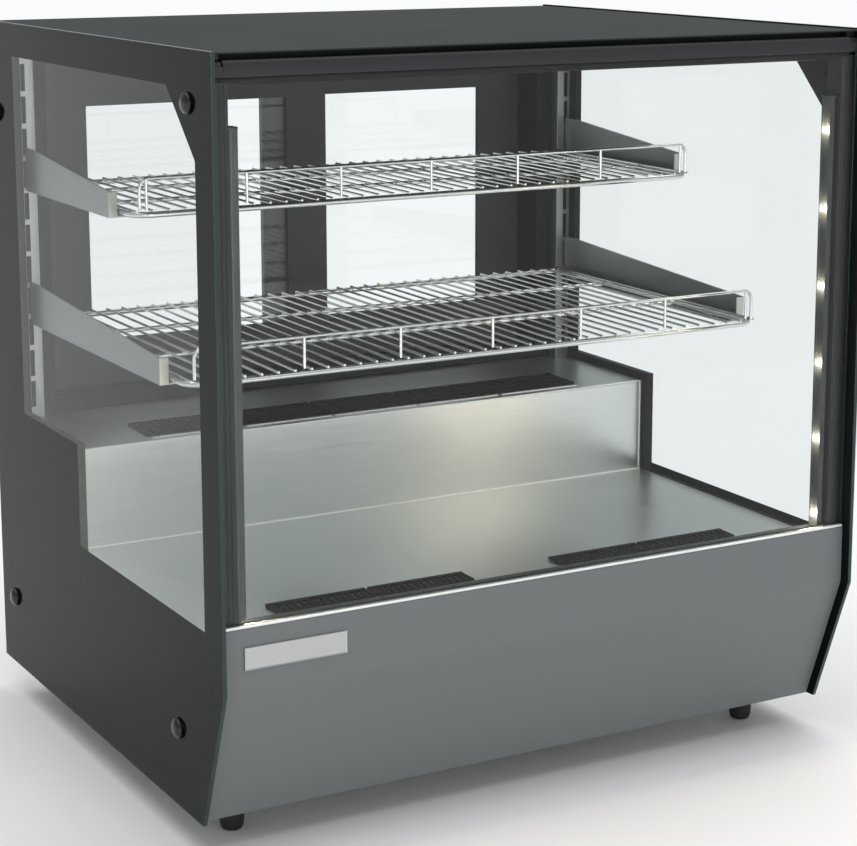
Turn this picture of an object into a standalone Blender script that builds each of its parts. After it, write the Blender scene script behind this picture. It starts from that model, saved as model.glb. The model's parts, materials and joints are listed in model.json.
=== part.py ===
"""Hot food display case: a counter-top glass cabinet with two wire shelves.

X runs across the front, Y from the front to the back, Z up from the counter.
Heights named in the constants are measured from the counter.
"""

import bpy
import bmesh
from math import cos, radians, sin
from mathutils import Matrix, Vector

# ---- driving dimensions (metres) ----
WIDTH = 0.700
DEPTH = 0.600
FOOT = 0.034
HEIGHT = 0.700 + FOOT
GAP = 0.0003
SHEET = 0.0015

# outline of a side pane
HALF = WIDTH / 2
FRONT = -DEPTH / 2
BACK = DEPTH / 2
KINK_Z = FOOT + 0.137
TOE_Y = -0.249
GLASS = 0.004

# window in a side frame
WINDOW_FRONT = -0.257
WINDOW_BACK = 0.213
WINDOW_TOP = FOOT + 0.666
CHAMFER = 0.060
DECK_Z = FOOT + 0.178
STEP_Z = FOOT + 0.282
STEP_Y = 0.066
LINER = 0.0075
INNER = HALF - GLASS - GAP * 2 - LINER
FRAME_FRONT = -0.2615
FRAME_TOP = FOOT + 0.681

# front panel and front glass
PANEL_Y = -0.290
PANEL_TOP = FOOT + 0.195
PANEL_TOE_Y = -0.240
PANEL_HALF = 0.3445
PANE_Y = -0.2865
PANE_LOW = FOOT + 0.1985
HINGE_Y = -0.2820
HINGE_Z = FOOT + 0.685
CLAMP_LOW = FOOT + 0.6775
CLAMP_TOP = FOOT + 0.692
CLAMP_HALF = 0.3345
CLAMP_FRONT = -0.2905
CLAMP_BACK = -0.2735

# roof, doors and back
ROOF_Z = FOOT + 0.6985
CEILING_Z = FOOT + 0.668
REAR_Y = 0.270
DOOR_T = 0.009
DOOR_LOW = FOOT + 0.2962
DOOR_TOP = FOOT + 0.6598
DOOR_WINDOW = (FOOT + 0.350, FOOT + 0.606)
DOOR_Y = {"left": 0.2725, "right": 0.2855}
JAMB = 0.3010
RAIL_Y = (0.224, 0.2385)
RAIL_X = (0.320, 0.3375)

# shelves: height of the rim wire, front wire and bracket reach
WIRE = 0.0030
GRID_WIRE = 0.0014
SHELF_HALF = 0.322
SHELF_BACK = 0.219
GRID_PITCH = 0.0171
GRID_COUNT = 38
FENCE_H = 0.033
FENCE_PITCH = 0.102
SHELVES = {
    "upper": {"z": FOOT + 0.530, "front": -0.045, "reach": -0.012},
    "lower": {"z": FOOT + 0.389, "front": -0.168, "reach": -0.1306},
}
ARM_X = 0.3302

# feet, bolts
FOOT_X = 0.296
FOOT_Y = (-0.190, 0.230)
BOLT_R = 0.00975
BOLT_H = 0.0058
BOLTS = {
    "top_front": (-0.249, FOOT + 0.654),
    "top_rear": (0.257, FOOT + 0.606),
    "bottom_front": (-0.197, FOOT + 0.077),
    "bottom_rear": (0.258, FOOT + 0.077),
}

# warm air equipment
FAN_Y = 0.150
FAN_Z = FOOT + 0.120
FAN_SIZE = 0.120
FAN_DEPTH = 0.032
HEATER_Z = FOOT + 0.222

# controls on the rear panel
CONTROL = (0.215, FOOT + 0.190)
KNOB_X = 0.272
ROCKERS = {"power_switch": 0.205, "light_switch": 0.170}

for old in list(bpy.data.objects):
    bpy.data.objects.remove(old, do_unlink=True)

case = bpy.data.collections.new("hot_food_display_case")
cutters = bpy.data.collections.new("cutters")
bpy.context.scene.collection.children.link(case)
bpy.context.scene.collection.children.link(cutters)


def finish(name, colour, roughness, metallic=0.0, alpha=1.0):
    mat = bpy.data.materials.new(name)
    mat.use_nodes = True
    shader = mat.node_tree.nodes["Principled BSDF"]
    shader.inputs["Base Color"].default_value = (*colour, 1.0)
    shader.inputs["Roughness"].default_value = roughness
    shader.inputs["Metallic"].default_value = metallic
    shader.inputs["Alpha"].default_value = alpha
    return mat


def put(obj, name, mat):
    """Name an object, give it a material of its own and file it with the case."""
    for home in list(obj.users_collection):
        home.objects.unlink(obj)
    case.objects.link(obj)
    obj.name = name
    obj.data.name = name
    own = mat.copy()
    own.name = name
    obj.data.materials.clear()
    obj.data.materials.append(own)
    return obj


def hide_cutter(obj):
    for home in list(obj.users_collection):
        home.objects.unlink(obj)
    cutters.objects.link(obj)
    obj.name = "cutter"
    obj.hide_render = True
    obj.display_type = "WIRE"
    return obj


def box(low, high):
    """A cuboid between two corners, with its scale in the mesh."""
    low = Vector(low)
    high = Vector(high)
    bpy.ops.mesh.primitive_cube_add(size=1, location=(low + high) / 2)
    obj = bpy.context.object
    obj.data.transform(Matrix.Diagonal((*(high - low), 1.0)))
    return obj


def turn_to(obj, axis):
    """Point an object's own Z along a direction."""
    obj.rotation_euler = Vector(axis).to_track_quat("Z", "Y").to_euler()
    return obj


def turn_about(obj, place):
    """Move an object's origin to a point on its joint's axis and leave its shape where it is."""
    bpy.context.view_layer.update()
    place = Vector(place)
    obj.data.transform(Matrix.Translation(-place) @ obj.matrix_world)
    obj.matrix_world = Matrix.Translation(place)
    return obj


def rod(radius, length, centre, axis=(0, 0, 1), sides=20):
    bpy.ops.mesh.primitive_cylinder_add(vertices=sides, radius=radius, depth=length, location=centre)
    return turn_to(bpy.context.object, axis)


def boolean(target, tool, operation, own=False):
    mod = target.modifiers.new(operation.lower(), "BOOLEAN")
    mod.operation = operation
    mod.object = hide_cutter(tool)
    mod.use_self = own
    return target


def cut(target, *tools):
    for tool in tools:
        boolean(target, tool, "DIFFERENCE")
    return target


def join(target, *tools):
    for tool in tools:
        boolean(target, tool, "UNION")
    return target


def bevel(obj, width, segments=2, angle=40):
    mod = obj.modifiers.new("bevel", "BEVEL")
    mod.width = width
    mod.segments = segments
    mod.limit_method = "ANGLE"
    mod.angle_limit = radians(angle)
    return obj


def mesh_of(curve):
    """Turn a curve into a welded mesh object at the same place."""
    graph = bpy.context.evaluated_depsgraph_get()
    data = bpy.data.meshes.new_from_object(curve.evaluated_get(graph))
    bm = bmesh.new()
    bm.from_mesh(data)
    bmesh.ops.remove_doubles(bm, verts=bm.verts, dist=0.00001)
    bmesh.ops.recalc_face_normals(bm, faces=bm.faces)
    bm.to_mesh(data)
    bm.free()
    obj = bpy.data.objects.new("mesh", data)
    obj.matrix_world = curve.matrix_world.copy()
    bpy.data.objects.remove(curve, do_unlink=True)
    case.objects.link(obj)
    return obj


def slab(outline, low, high):
    """A flat outline of (y, z) corners, thick from x = low to x = high."""
    data = bpy.data.curves.new("outline", "CURVE")
    data.dimensions = "2D"
    data.fill_mode = "BOTH"
    data.extrude = abs(high - low) / 2
    line = data.splines.new("POLY")
    line.points.add(len(outline) - 1)
    for point, (y, z) in zip(line.points, outline):
        point.co = (y, z, 0, 1)
    line.use_cyclic_u = True
    obj = bpy.data.objects.new("outline", data)
    case.objects.link(obj)
    obj.matrix_world = Matrix(((0, 0, 1, (low + high) / 2), (1, 0, 0, 0), (0, 1, 0, 0), (0, 0, 0, 1)))
    bpy.context.view_layer.update()
    return mesh_of(obj)


def strip(profile, half, thick):
    """A sheet bent along X: an open (y, z) line, as wide as 2 * half.

    A positive thickness lies on the right of the line, seen from +X, a negative one on its left.
    """
    bm = bmesh.new()
    line = [bm.verts.new((-half, y, z)) for y, z in profile]
    edges = [bm.edges.new(pair) for pair in zip(line, line[1:])]
    swept = bmesh.ops.extrude_edge_only(bm, edges=edges)
    moved = [item for item in swept["geom"] if isinstance(item, bmesh.types.BMVert)]
    bmesh.ops.translate(bm, verts=moved, vec=(2 * half, 0, 0))
    data = bpy.data.meshes.new("strip")
    bm.to_mesh(data)
    bm.free()
    obj = bpy.data.objects.new("strip", data)
    case.objects.link(obj)
    mod = obj.modifiers.new("solidify", "SOLIDIFY")
    mod.thickness = abs(thick)
    mod.offset = -1.0 if thick > 0 else 1.0
    mod.use_even_offset = True
    return obj


def wire(points, radius, closed=False, sides=1):
    """A round wire through points, as a welded mesh."""
    data = bpy.data.curves.new("wire", "CURVE")
    data.dimensions = "3D"
    data.bevel_depth = radius
    data.bevel_resolution = sides
    data.use_fill_caps = True
    line = data.splines.new("POLY")
    line.points.add(len(points) - 1)
    for point, place in zip(line.points, points):
        point.co = (*place, 1)
    line.use_cyclic_u = closed
    obj = bpy.data.objects.new("wire", data)
    case.objects.link(obj)
    bpy.context.view_layer.update()
    return mesh_of(obj)


def corner(centre, radius, start, end, steps=4):
    """Points (a, b) along an arc, angles in degrees."""
    turns = [radians(start + (end - start) * i / steps) for i in range(steps + 1)]
    return [(centre[0] + radius * cos(t), centre[1] + radius * sin(t)) for t in turns]


def turned(profile, sides=20):
    """A closed solid from an (r, h) profile that runs down its outer side, turned about Z."""
    data = bpy.data.meshes.new("profile")
    verts = [(r, 0, h) for r, h in profile]
    data.from_pydata(verts, [(i, i + 1) for i in range(len(verts) - 1)], [])
    obj = bpy.data.objects.new("turned", data)
    case.objects.link(obj)
    mod = obj.modifiers.new("screw", "SCREW")
    mod.steps = sides
    mod.render_steps = sides
    mod.use_merge_vertices = True
    mod.merge_threshold = 0.00005
    return obj


def pair(maker, name, mat):
    """The same piece on both sides: maker(side) with side -1 for left and 1 for right."""
    for side, word in ((-1, "left"), (1, "right")):
        put(maker(side), name + "_" + word, mat)


def across(side, low, high):
    """Order two distances from the middle plane as x limits on one side."""
    return (low, high) if side > 0 else (-high, -low)


black = finish("black", (0.015, 0.017, 0.017), 0.45)
graphite = finish("graphite", (0.10, 0.11, 0.11), 0.45, 0.2)
steel = finish("steel", (0.42, 0.45, 0.44), 0.35, 0.9)
chrome = finish("chrome", (0.72, 0.74, 0.73), 0.2, 1.0)
clear = finish("clear", (0.80, 0.88, 0.87), 0.03, 0.0, 0.2)
light = finish("light", (0.55, 0.58, 0.57), 0.4, 0.6)


# ---- side panes, side frames and bolts ----
def side_glass(side):
    outline = [
        (FRONT, HEIGHT), (FRONT, KINK_Z), (TOE_Y, FOOT), (BACK, FOOT), (BACK, HEIGHT),
    ]
    pane = slab(outline, *across(side, HALF - GLASS, HALF))
    return cut(pane, *bolt_holes(side))


def bolt_holes(side):
    return [rod(0.0037, 0.04, (side * HALF, y, z), (1, 0, 0), 12) for y, z in BOLTS.values()]


def side_window(low, high):
    outline = [
        (WINDOW_FRONT, DECK_Z), (STEP_Y - 0.011, DECK_Z), (STEP_Y - 0.011, STEP_Z + 0.009),
        (WINDOW_BACK, STEP_Z + 0.009), (WINDOW_BACK, WINDOW_TOP),
        (WINDOW_FRONT + CHAMFER, WINDOW_TOP), (WINDOW_FRONT, WINDOW_TOP - CHAMFER),
    ]
    return slab(outline, low, high)


def side_frame(side):
    outline = [
        (FRAME_FRONT, FRAME_TOP), (FRAME_FRONT, KINK_Z), (TOE_Y + 0.014, FOOT + 0.002),
        (BACK - 0.002, FOOT + 0.002), (BACK - 0.002, FRAME_TOP),
    ]
    low, high = across(side, INNER, INNER + LINER)
    frame = slab(outline, low, high)
    return cut(frame, side_window(low - 0.005, high + 0.005), *bolt_holes(side))


def bolt(side, place):
    """A domed head outside the pane, with a shank that ends inside the side frame."""
    dome = [(BOLT_R * sin(radians(a)), BOLT_H * cos(radians(a))) for a in (0, 25, 50, 72, 90)]
    shank = GLASS + GAP + LINER - 0.002
    head = turned(dome + [(0.0030, 0.0), (0.0030, -shank), (0.0, -shank)], 16)
    head.location = (side * (HALF + GAP), *place)
    return turn_to(head, (side, 0, 0))


pair(side_glass, "side_glass", clear)
pair(side_frame, "side_frame", black)
for spot, place in BOLTS.items():
    pair(lambda side: bolt(side, place), "bolt_" + spot, black)


# ---- roof and ceiling ----
def tray(low, high, drop):
    """A flat sheet with its four edges turned down by drop."""
    shell = box((low[0], low[1], high[2] - drop), high)
    inside = box(
        (low[0] + SHEET, low[1] + SHEET, high[2] - drop - 0.01),
        (high[0] - SHEET, high[1] - SHEET, high[2] - SHEET),
    )
    return cut(shell, inside)


ROOF_HALF = HALF - GLASS - 2 * GAP
roof = box((-ROOF_HALF, -0.289, ROOF_Z - SHEET), (ROOF_HALF, BACK - 0.002, ROOF_Z))
roof_tray = box((-ROOF_HALF, -0.2690, FRAME_TOP + GAP), (ROOF_HALF, BACK - 0.002, ROOF_Z - 0.0005))
roof_room = box(
    (-ROOF_HALF + SHEET, -0.2690 + SHEET, FRAME_TOP - 0.01),
    (ROOF_HALF - SHEET, BACK - 0.002 - SHEET, ROOF_Z - SHEET),
)
put(cut(join(roof, roof_tray), roof_room), "top_cover", graphite)
ceiling = box((-INNER + GAP, -0.2610, CEILING_Z), (INNER - GAP, 0.2390, CEILING_Z + 0.006))
put(ceiling, "ceiling_panel", black)

# ---- front panel, badge plate, posts and sill ----
panel_line = [
    (PANEL_Y + 0.009, PANEL_TOP), (PANEL_Y, PANEL_TOP), (PANEL_Y, KINK_Z),
    (PANEL_TOE_Y, FOOT), (PANEL_TOE_Y + 0.016, FOOT),
]
put(strip(panel_line, PANEL_HALF, -SHEET), "front_panel", graphite)
badge = box((-0.325, PANEL_Y - GAP - 0.0015, FOOT + 0.1565), (-0.224, PANEL_Y - GAP, FOOT + 0.1775))
put(bevel(badge, 0.0004, 1), "badge_plate", light)


def front_post(side):
    """A black post with two shallow grooves down its front."""
    x0, x1 = across(side, 0.3280, ROOF_HALF - GAP)
    post = box((x0, -0.2840, PANEL_TOP + GAP), (x1, -0.2620, FOOT + 0.673))
    grooves = [
        box((side * x - 0.0012, -0.30, PANEL_TOP - 0.01), (side * x + 0.0012, -0.2825, FOOT + 0.70))
        for x in (0.3330, 0.3400)
    ]
    return cut(post, *grooves)


pair(front_post, "front_post", black)


def led_bar(side):
    x0, x1 = across(side, 0.3165, 0.3277)
    return bevel(box((x0, -0.2800, FOOT + 0.1945), (x1, -0.2670, FOOT + 0.635)), 0.0008, 1)


pair(led_bar, "led_bar", light)
sill = box((-0.3277, -0.2805, DECK_Z + GAP), (0.3277, -0.2545, FOOT + 0.1925))
put(bevel(sill, 0.0012, 2), "deck_front_sill", black)

# ---- front glass on its hinge ----
hinge = bpy.data.objects.new("front_glass_axis", None)
hinge.location = (0, HINGE_Y, HINGE_Z)
case.objects.link(hinge)


def hang(obj):
    """Parent a piece to the hinge empty and keep it where it is."""
    obj.parent = hinge
    obj.matrix_parent_inverse = Matrix.Translation(-hinge.location)
    return obj


pane = box((-0.3450, PANE_Y - GLASS / 2, PANE_LOW), (0.3450, PANE_Y + GLASS / 2, CLAMP_LOW - GAP))
tongue = box(
    (-CLAMP_HALF + 0.001, PANE_Y - GLASS / 2, CLAMP_LOW - 0.01),
    (CLAMP_HALF - 0.001, PANE_Y + GLASS / 2, CLAMP_LOW + 0.0035),
)
hang(put(join(pane, tongue), "front_glass", clear))
clamp = box((-CLAMP_HALF, CLAMP_FRONT, CLAMP_LOW), (CLAMP_HALF, CLAMP_BACK, CLAMP_TOP))
mouth = box(
    (-CLAMP_HALF - 0.01, PANE_Y - GLASS / 2 - GAP, CLAMP_LOW - 0.01),
    (CLAMP_HALF + 0.01, PANE_Y + GLASS / 2 + GAP, CLAMP_LOW + 0.0040),
)
bores = []
for side in (-1, 1):
    bores.append(rod(0.0028, 0.018, (side * CLAMP_HALF, HINGE_Y, HINGE_Z), (1, 0, 0), 16))
hang(put(cut(bevel(clamp, 0.0015, 2), mouth, *bores), "front_glass_clamp", graphite))


def hinge_block(side):
    """A round knuckle with its pin, and a foot that reaches back to the roof."""
    middle = side * (CLAMP_HALF + 0.0055)
    knuckle = rod(0.0070, 0.0095, (middle, HINGE_Y, HINGE_Z), (1, 0, 0), 24)
    pin = rod(0.0024, 0.014, (side * (CLAMP_HALF - 0.0001), HINGE_Y, HINGE_Z), (1, 0, 0), 16)
    x0, x1 = middle - 0.00475, middle + 0.00475
    foot = box((x0, HINGE_Y, HINGE_Z - 0.003), (x1, -0.2693, ROOF_Z - SHEET - GAP))
    return join(knuckle, pin, foot)


pair(hinge_block, "hinge_block", graphite)

# ---- stepped deck and air grilles ----
REAR_GRILLE = (0.2590, 0.086, 0.141)
FRONT_GRILLE = (0.0500, 0.2600, -0.220, -0.193)


def deck():
    line = [
        (-0.2805, DECK_Z - 0.012), (-0.2805, DECK_Z), (STEP_Y, DECK_Z), (STEP_Y, STEP_Z), (0.2395, STEP_Z),
    ]
    sheet = strip(line, INNER - GAP, 0.0012)
    holes = []
    x0, x1, y0, y1 = FRONT_GRILLE
    for side in (-1, 1):
        a, b = across(side, x0 + 0.004, x1 - 0.004)
        holes.append(box((a, y0 + 0.004, DECK_Z - 0.02), (b, y1 - 0.004, DECK_Z + 0.02)))
    half, y2, y3 = REAR_GRILLE
    holes.append(box((-half + 0.004, y2 + 0.004, STEP_Z - 0.02), (half - 0.004, y3 - 0.004, STEP_Z + 0.02)))
    for i in range(5):
        mid = (i - 2) * 0.1036
        holes.append(box((mid - 0.0495, 0.0765, STEP_Z - 0.02), (mid + 0.0495, 0.0805, STEP_Z + 0.02)))
    return cut(sheet, *holes)


put(deck(), "deck", steel)


def grille(low, high, z, bars):
    """A flat cassette with a row of open slots across it."""
    plate = box((low[0], low[1], z + GAP), (high[0], high[1], z + 0.0030))
    pitch = (high[0] - low[0] - 0.012) / bars
    row = bmesh.new()
    for i in range(bars):
        mid = low[0] + 0.006 + pitch * (i + 0.5)
        place = Matrix.Translation((mid, (low[1] + high[1]) / 2, z))
        size = Matrix.Diagonal((pitch * 0.5, high[1] - low[1] - 0.010, 0.02, 1.0))
        bmesh.ops.create_cube(row, size=1, matrix=place @ size)
    data = bpy.data.meshes.new("slots")
    row.to_mesh(data)
    row.free()
    slots = bpy.data.objects.new("slots", data)
    cutters.objects.link(slots)
    return cut(plate, slots)


def front_grille(side):
    x0, x1 = across(side, FRONT_GRILLE[0], FRONT_GRILLE[1])
    return grille((x0, FRONT_GRILLE[2]), (x1, FRONT_GRILLE[3]), DECK_Z, 20)


pair(front_grille, "front_grille", black)
rear = grille((-REAR_GRILLE[0], REAR_GRILLE[1]), (REAR_GRILLE[0], REAR_GRILLE[2]), STEP_Z, 50)
put(rear, "rear_grille", black)


# ---- slotted rails and shelf brackets ----
def shelf_rail(side):
    x0, x1 = across(side, *RAIL_X)
    rail = box((x0, RAIL_Y[0], STEP_Z + GAP), (x1, RAIL_Y[1], CEILING_Z - GAP))
    a, b = across(side, RAIL_X[0] + SHEET, RAIL_X[1] - SHEET)
    hollow = box((a, RAIL_Y[0] + SHEET, STEP_Z - 0.01), (b, RAIL_Y[1] + 0.01, CEILING_Z + 0.01))
    slots = []
    for i in range(11):
        mid = FOOT + 0.308 + i * 0.0335
        x = side * 0.3315
        slots.append(box((x - 0.0024, 0.21, mid - 0.014), (x + 0.0024, 0.235, mid + 0.014)))
    return cut(rail, hollow, *slots)


pair(shelf_rail, "shelf_rail", light)


def bracket(side, level):
    """A sloping arm with an inward ledge, an upright fold at its front and two low tabs on the ledge."""
    z = SHELVES[level]["z"] - WIRE - GAP - SHEET
    front = SHELVES[level]["reach"]
    back = RAIL_Y[0] - GAP
    outline = [(front, z), (back, z), (back, z + 0.045), (0.197, z + 0.045), (front, z + 0.026)]
    x0, x1 = across(side, ARM_X, ARM_X + SHEET)
    arm = slab(outline, x0, x1)
    a, b = across(side, ARM_X - 0.0162, ARM_X + 0.0005)
    ledge = box((a, front, z), (b, back - 0.030, z + SHEET))
    c, d = across(side, ARM_X - 0.0077, ARM_X + 0.0005)
    nose = box((c, front, z + 0.0005), (d, front + SHEET, z + 0.0255))
    parts = [ledge, nose]
    for y in (front + 0.040, 0.180):
        c, d = across(side, ARM_X - 0.0162, ARM_X - 0.0147)
        parts.append(box((c, y - 0.008, z + 0.0005), (d, y + 0.008, z + SHEET + 0.0045)))
    return join(arm, *parts)


for level in SHELVES:
    for side, word in ((-1, "left"), (1, "right")):
        put(bracket(side, level), level + "_bracket_" + word, steel)


# ---- wire shelves ----
def shelf(level):
    """A rim wire with rounded corners, cross wires at its level and grid wires on top."""
    z = SHELVES[level]["z"]
    front = SHELVES[level]["front"]
    half = SHELF_HALF - WIRE
    rim = (
        corner((half - 0.020, front + 0.020), 0.020, -90, 0)
        + corner((half - 0.008, SHELF_BACK - 0.008), 0.008, 0, 90, 3)
        + corner((-half + 0.008, SHELF_BACK - 0.008), 0.008, 90, 180, 3)
        + corner((-half + 0.020, front + 0.020), 0.020, 180, 270)
    )
    ring = wire([(x, y, z) for x, y in rim], WIRE, closed=True)
    bars = bmesh.new()
    thick = GRID_WIRE * 1.8
    top = z + WIRE + GRID_WIRE * 0.5
    for i in range(GRID_COUNT):
        x = (i - (GRID_COUNT - 1) / 2) * GRID_PITCH
        place = Matrix.Translation((x, (front + SHELF_BACK) / 2, top))
        size = Matrix.Diagonal((thick, SHELF_BACK - front + 0.002, thick, 1.0))
        bmesh.ops.create_cube(bars, size=1, matrix=place @ size)
    data = bpy.data.meshes.new("bars")
    bars.to_mesh(data)
    bars.free()
    grid = bpy.data.objects.new("bars", data)
    case.objects.link(grid)
    beams = []
    for part in (0.36, 0.72):
        y = front + (SHELF_BACK - front) * part
        low = (-half, y - WIRE * 0.8, z - WIRE * 0.2)
        high = (half, y + WIRE * 0.8, z + WIRE)
        beams.append(box(low, high))
    return join(ring, grid, *beams)


def fence(level):
    """A low rail along the front edge: one bent wire held up by seven uprights."""
    z = SHELVES[level]["z"] + WIRE + GRID_WIRE + 0.0008
    y = SHELVES[level]["front"]
    top = z + FENCE_H - 0.003
    half = SHELF_HALF - 0.009
    turn = 0.010
    left = corner((-half + turn, top - turn), turn, 180, 90, 4)
    right = corner((half - turn, top - turn), turn, 90, 0, 4)
    path = [(-half, z)] + left + right + [(half, z)]
    hoop = wire([(x, y, h) for x, h in path], 0.0016)
    posts = []
    for i in range(7):
        x = (i - 3) * FENCE_PITCH
        posts.append(rod(0.0015, top - z, (x, y, (top + z) / 2), (0, 0, 1), 8))
    return join(hoop, *posts)


for level in SHELVES:
    put(shelf(level), level + "_shelf", chrome)
    put(fence(level), level + "_shelf_fence", chrome)


# ---- rear door frame and sliding doors ----
def door_frame():
    outer = box((-INNER + GAP, 0.2400, STEP_Z + 0.0015), (INNER - GAP, BACK - 0.002, FRAME_TOP))
    opening = box((-JAMB, 0.20, FOOT + 0.300), (JAMB, 0.40, FOOT + 0.656))
    grooves = []
    for y in DOOR_Y.values():
        y0, y1 = y - DOOR_T / 2 - 0.0008, y + DOOR_T / 2 + 0.0008
        grooves.append(box((-JAMB, y0, DOOR_LOW - 0.0007), (JAMB, y1, DOOR_TOP + 0.0007)))
    return cut(outer, opening, *grooves)


DOOR_X = {"left": (-0.3000, 0.0370), "right": (-0.0370, 0.3000)}
DOOR_GLASS_X = {"left": (-0.2470, -0.0130), "right": (0.0150, 0.2450)}


def door(side_word):
    """A door frame with a glazed window and a finger recess in its outer stile."""
    x0, x1 = DOOR_X[side_word]
    g0, g1 = DOOR_GLASS_X[side_word]
    z0, z1 = DOOR_WINDOW
    y = DOOR_Y[side_word]
    y0, y1 = y - DOOR_T / 2, y + DOOR_T / 2
    frame = box((x0, y0, DOOR_LOW), (x1, y1, DOOR_TOP))
    hole = box((g0, y0 - 0.01, z0), (g1, y1 + 0.01, z1))
    seat = box((g0 - 0.006, y - 0.0023, z0 - 0.006), (g1 + 0.006, y + 0.0023, z1 + 0.006))
    grip_x = x0 + 0.024 if side_word == "left" else x1 - 0.024
    grip = box((grip_x - 0.013, y1 - 0.006, FOOT + 0.410), (grip_x + 0.013, y1 + 0.01, FOOT + 0.530))
    put(cut(frame, hole, seat, grip), "door_" + side_word + "_frame", graphite)
    pane = box((g0 - 0.0055, y - 0.0020, z0 - 0.0055), (g1 + 0.0055, y + 0.0020, z1 + 0.0055))
    put(pane, "door_" + side_word + "_glass", clear)


put(door_frame(), "door_frame", black)
for word in DOOR_X:
    door(word)


# ---- rear panel with vents, control plate and controls ----
def rocker_hole(x, room):
    z = CONTROL[1]
    wide, tall = 0.0070 + room, 0.0132 + room
    return box((x - wide, REAR_Y - 0.02, z - tall), (x + wide, REAR_Y + 0.02, z + tall))


def rear_panel():
    panel = box((-INNER + GAP, REAR_Y, FOOT + 0.004), (INNER - GAP, REAR_Y + SHEET, STEP_Z))
    vents = bmesh.new()
    for row in range(3):
        for i in range(14):
            place = Matrix.Translation((-0.250 + i * 0.026, REAR_Y, FOOT + 0.050 + row * 0.050))
            size = Matrix.Diagonal((0.006, 0.02, 0.036, 1.0))
            bmesh.ops.create_cube(vents, size=1, matrix=place @ size)
    data = bpy.data.meshes.new("vents")
    vents.to_mesh(data)
    vents.free()
    slots = bpy.data.objects.new("vents", data)
    cutters.objects.link(slots)
    shaft = rod(0.0045, 0.04, (KNOB_X, REAR_Y, CONTROL[1]), (0, 1, 0), 16)
    lead = rod(0.0085, 0.04, (0.290, REAR_Y, FOOT + 0.040), (0, 1, 0), 16)
    windows = [rocker_hole(x, 0.002) for x in ROCKERS.values()]
    return cut(panel, slots, shaft, lead, *windows)


put(rear_panel(), "rear_panel", graphite)
plate_y = REAR_Y + SHEET + GAP
plate = box(
    (CONTROL[0] - 0.070, plate_y, CONTROL[1] - 0.032),
    (CONTROL[0] + 0.085, plate_y + 0.002, CONTROL[1] + 0.032),
)
shaft_hole = rod(0.0045, 0.04, (KNOB_X, REAR_Y, CONTROL[1]), (0, 1, 0), 16)
put(cut(plate, shaft_hole, *[rocker_hole(x, 0.0006) for x in ROCKERS.values()]), "control_plate", black)

knob = turned([
    (0.0, 0.0170), (0.0125, 0.0170), (0.0140, 0.0155), (0.0150, 0.0005), (0.0150, 0.0),
    (0.0038, 0.0), (0.0038, -0.0120), (0.0, -0.0120),
], 28)
knob.location = (KNOB_X, plate_y + 0.0030, CONTROL[1])
turn_to(knob, (0, 1, 0))
pointer = box(
    (KNOB_X - 0.0012, plate_y + 0.010, CONTROL[1] + 0.004),
    (KNOB_X + 0.0012, plate_y + 0.0208, CONTROL[1] + 0.0135),
)
put(join(knob, pointer), "thermostat_knob", black)

ROCKER_Y = REAR_Y - 0.003
for name, x in ROCKERS.items():
    z = CONTROL[1]
    tilt = 0.0115 * sin(radians(8))
    shape = [
        (ROCKER_Y - 0.004, z - 0.0070), (ROCKER_Y - 0.004, z + 0.0070),
        (ROCKER_Y + 0.0070 + tilt, z + 0.0112), (ROCKER_Y + 0.0070, z),
        (ROCKER_Y + 0.0070 - tilt, z - 0.0112),
    ]
    rocker = slab(shape, x - 0.0070, x + 0.0070)
    put(turn_about(rocker, (x, ROCKER_Y, z)), name, black)

gland = turned([
    (0.0, 0.0200), (0.0050, 0.0200), (0.0075, 0.0180), (0.0075, 0.0100), (0.0120, 0.0090),
    (0.0120, 0.0), (0.0080, 0.0), (0.0080, -0.0100), (0.0, -0.0100),
], 20)
gland.location = (0.290, REAR_Y + SHEET + GAP, FOOT + 0.040)
turn_to(gland, (0, 1, 0))
mouth = rod(0.0038, 0.016, (0.290, REAR_Y + 0.020, FOOT + 0.040), (0, 1, 0), 16)
put(cut(gland, mouth), "cable_gland", black)

# ---- base pan and feet ----
pan_top = FOOT + 0.022
pan = box((-INNER + GAP, -0.2200, FOOT + 0.002), (INNER - GAP, REAR_Y - GAP, pan_top))
pan_room = box((-INNER + 0.002, -0.2184, FOOT + 0.0036), (INNER - 0.002, REAR_Y - 0.002, pan_top + 0.01))
holes = [rod(0.0046, 0.04, (x, y, FOOT), (0, 0, 1), 12) for x in (-FOOT_X, FOOT_X) for y in FOOT_Y]
put(cut(pan, pan_room, *holes), "base_pan", steel)

foot_profile = [
    (0.0, FOOT + 0.0130), (0.0040, FOOT + 0.0130), (0.0040, FOOT + 0.0015), (0.0118, FOOT + 0.0015),
    (0.0120, 0.0330), (0.0120, 0.0120), (0.0108, 0.0030), (0.0090, 0.0), (0.0, 0.0),
]
for y, row in zip(FOOT_Y, ("front", "rear")):
    for x, word in ((-FOOT_X, "left"), (FOOT_X, "right")):
        leg = turned(foot_profile, 20)
        leg.location = (x, y, 0)
        put(leg, "foot_" + row + "_" + word, black)

# ---- fan, heater and terminal box under the step ----
duct = FAN_SIZE / 2 - 0.006
floor = FOOT + 0.0036 + GAP
saddle = box((-0.080, FAN_Y - 0.055, floor), (0.080, FAN_Y + 0.055, FAN_Z - GAP))
saddle_room = box((-0.0785, FAN_Y - 0.10, floor - 0.01), (0.0785, FAN_Y + 0.10, FAN_Z - GAP - SHEET))
inlet = rod(duct, 0.03, (0, FAN_Y, FAN_Z), (0, 0, 1), 32)
put(cut(saddle, saddle_room, inlet), "fan_bracket", steel)

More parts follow.
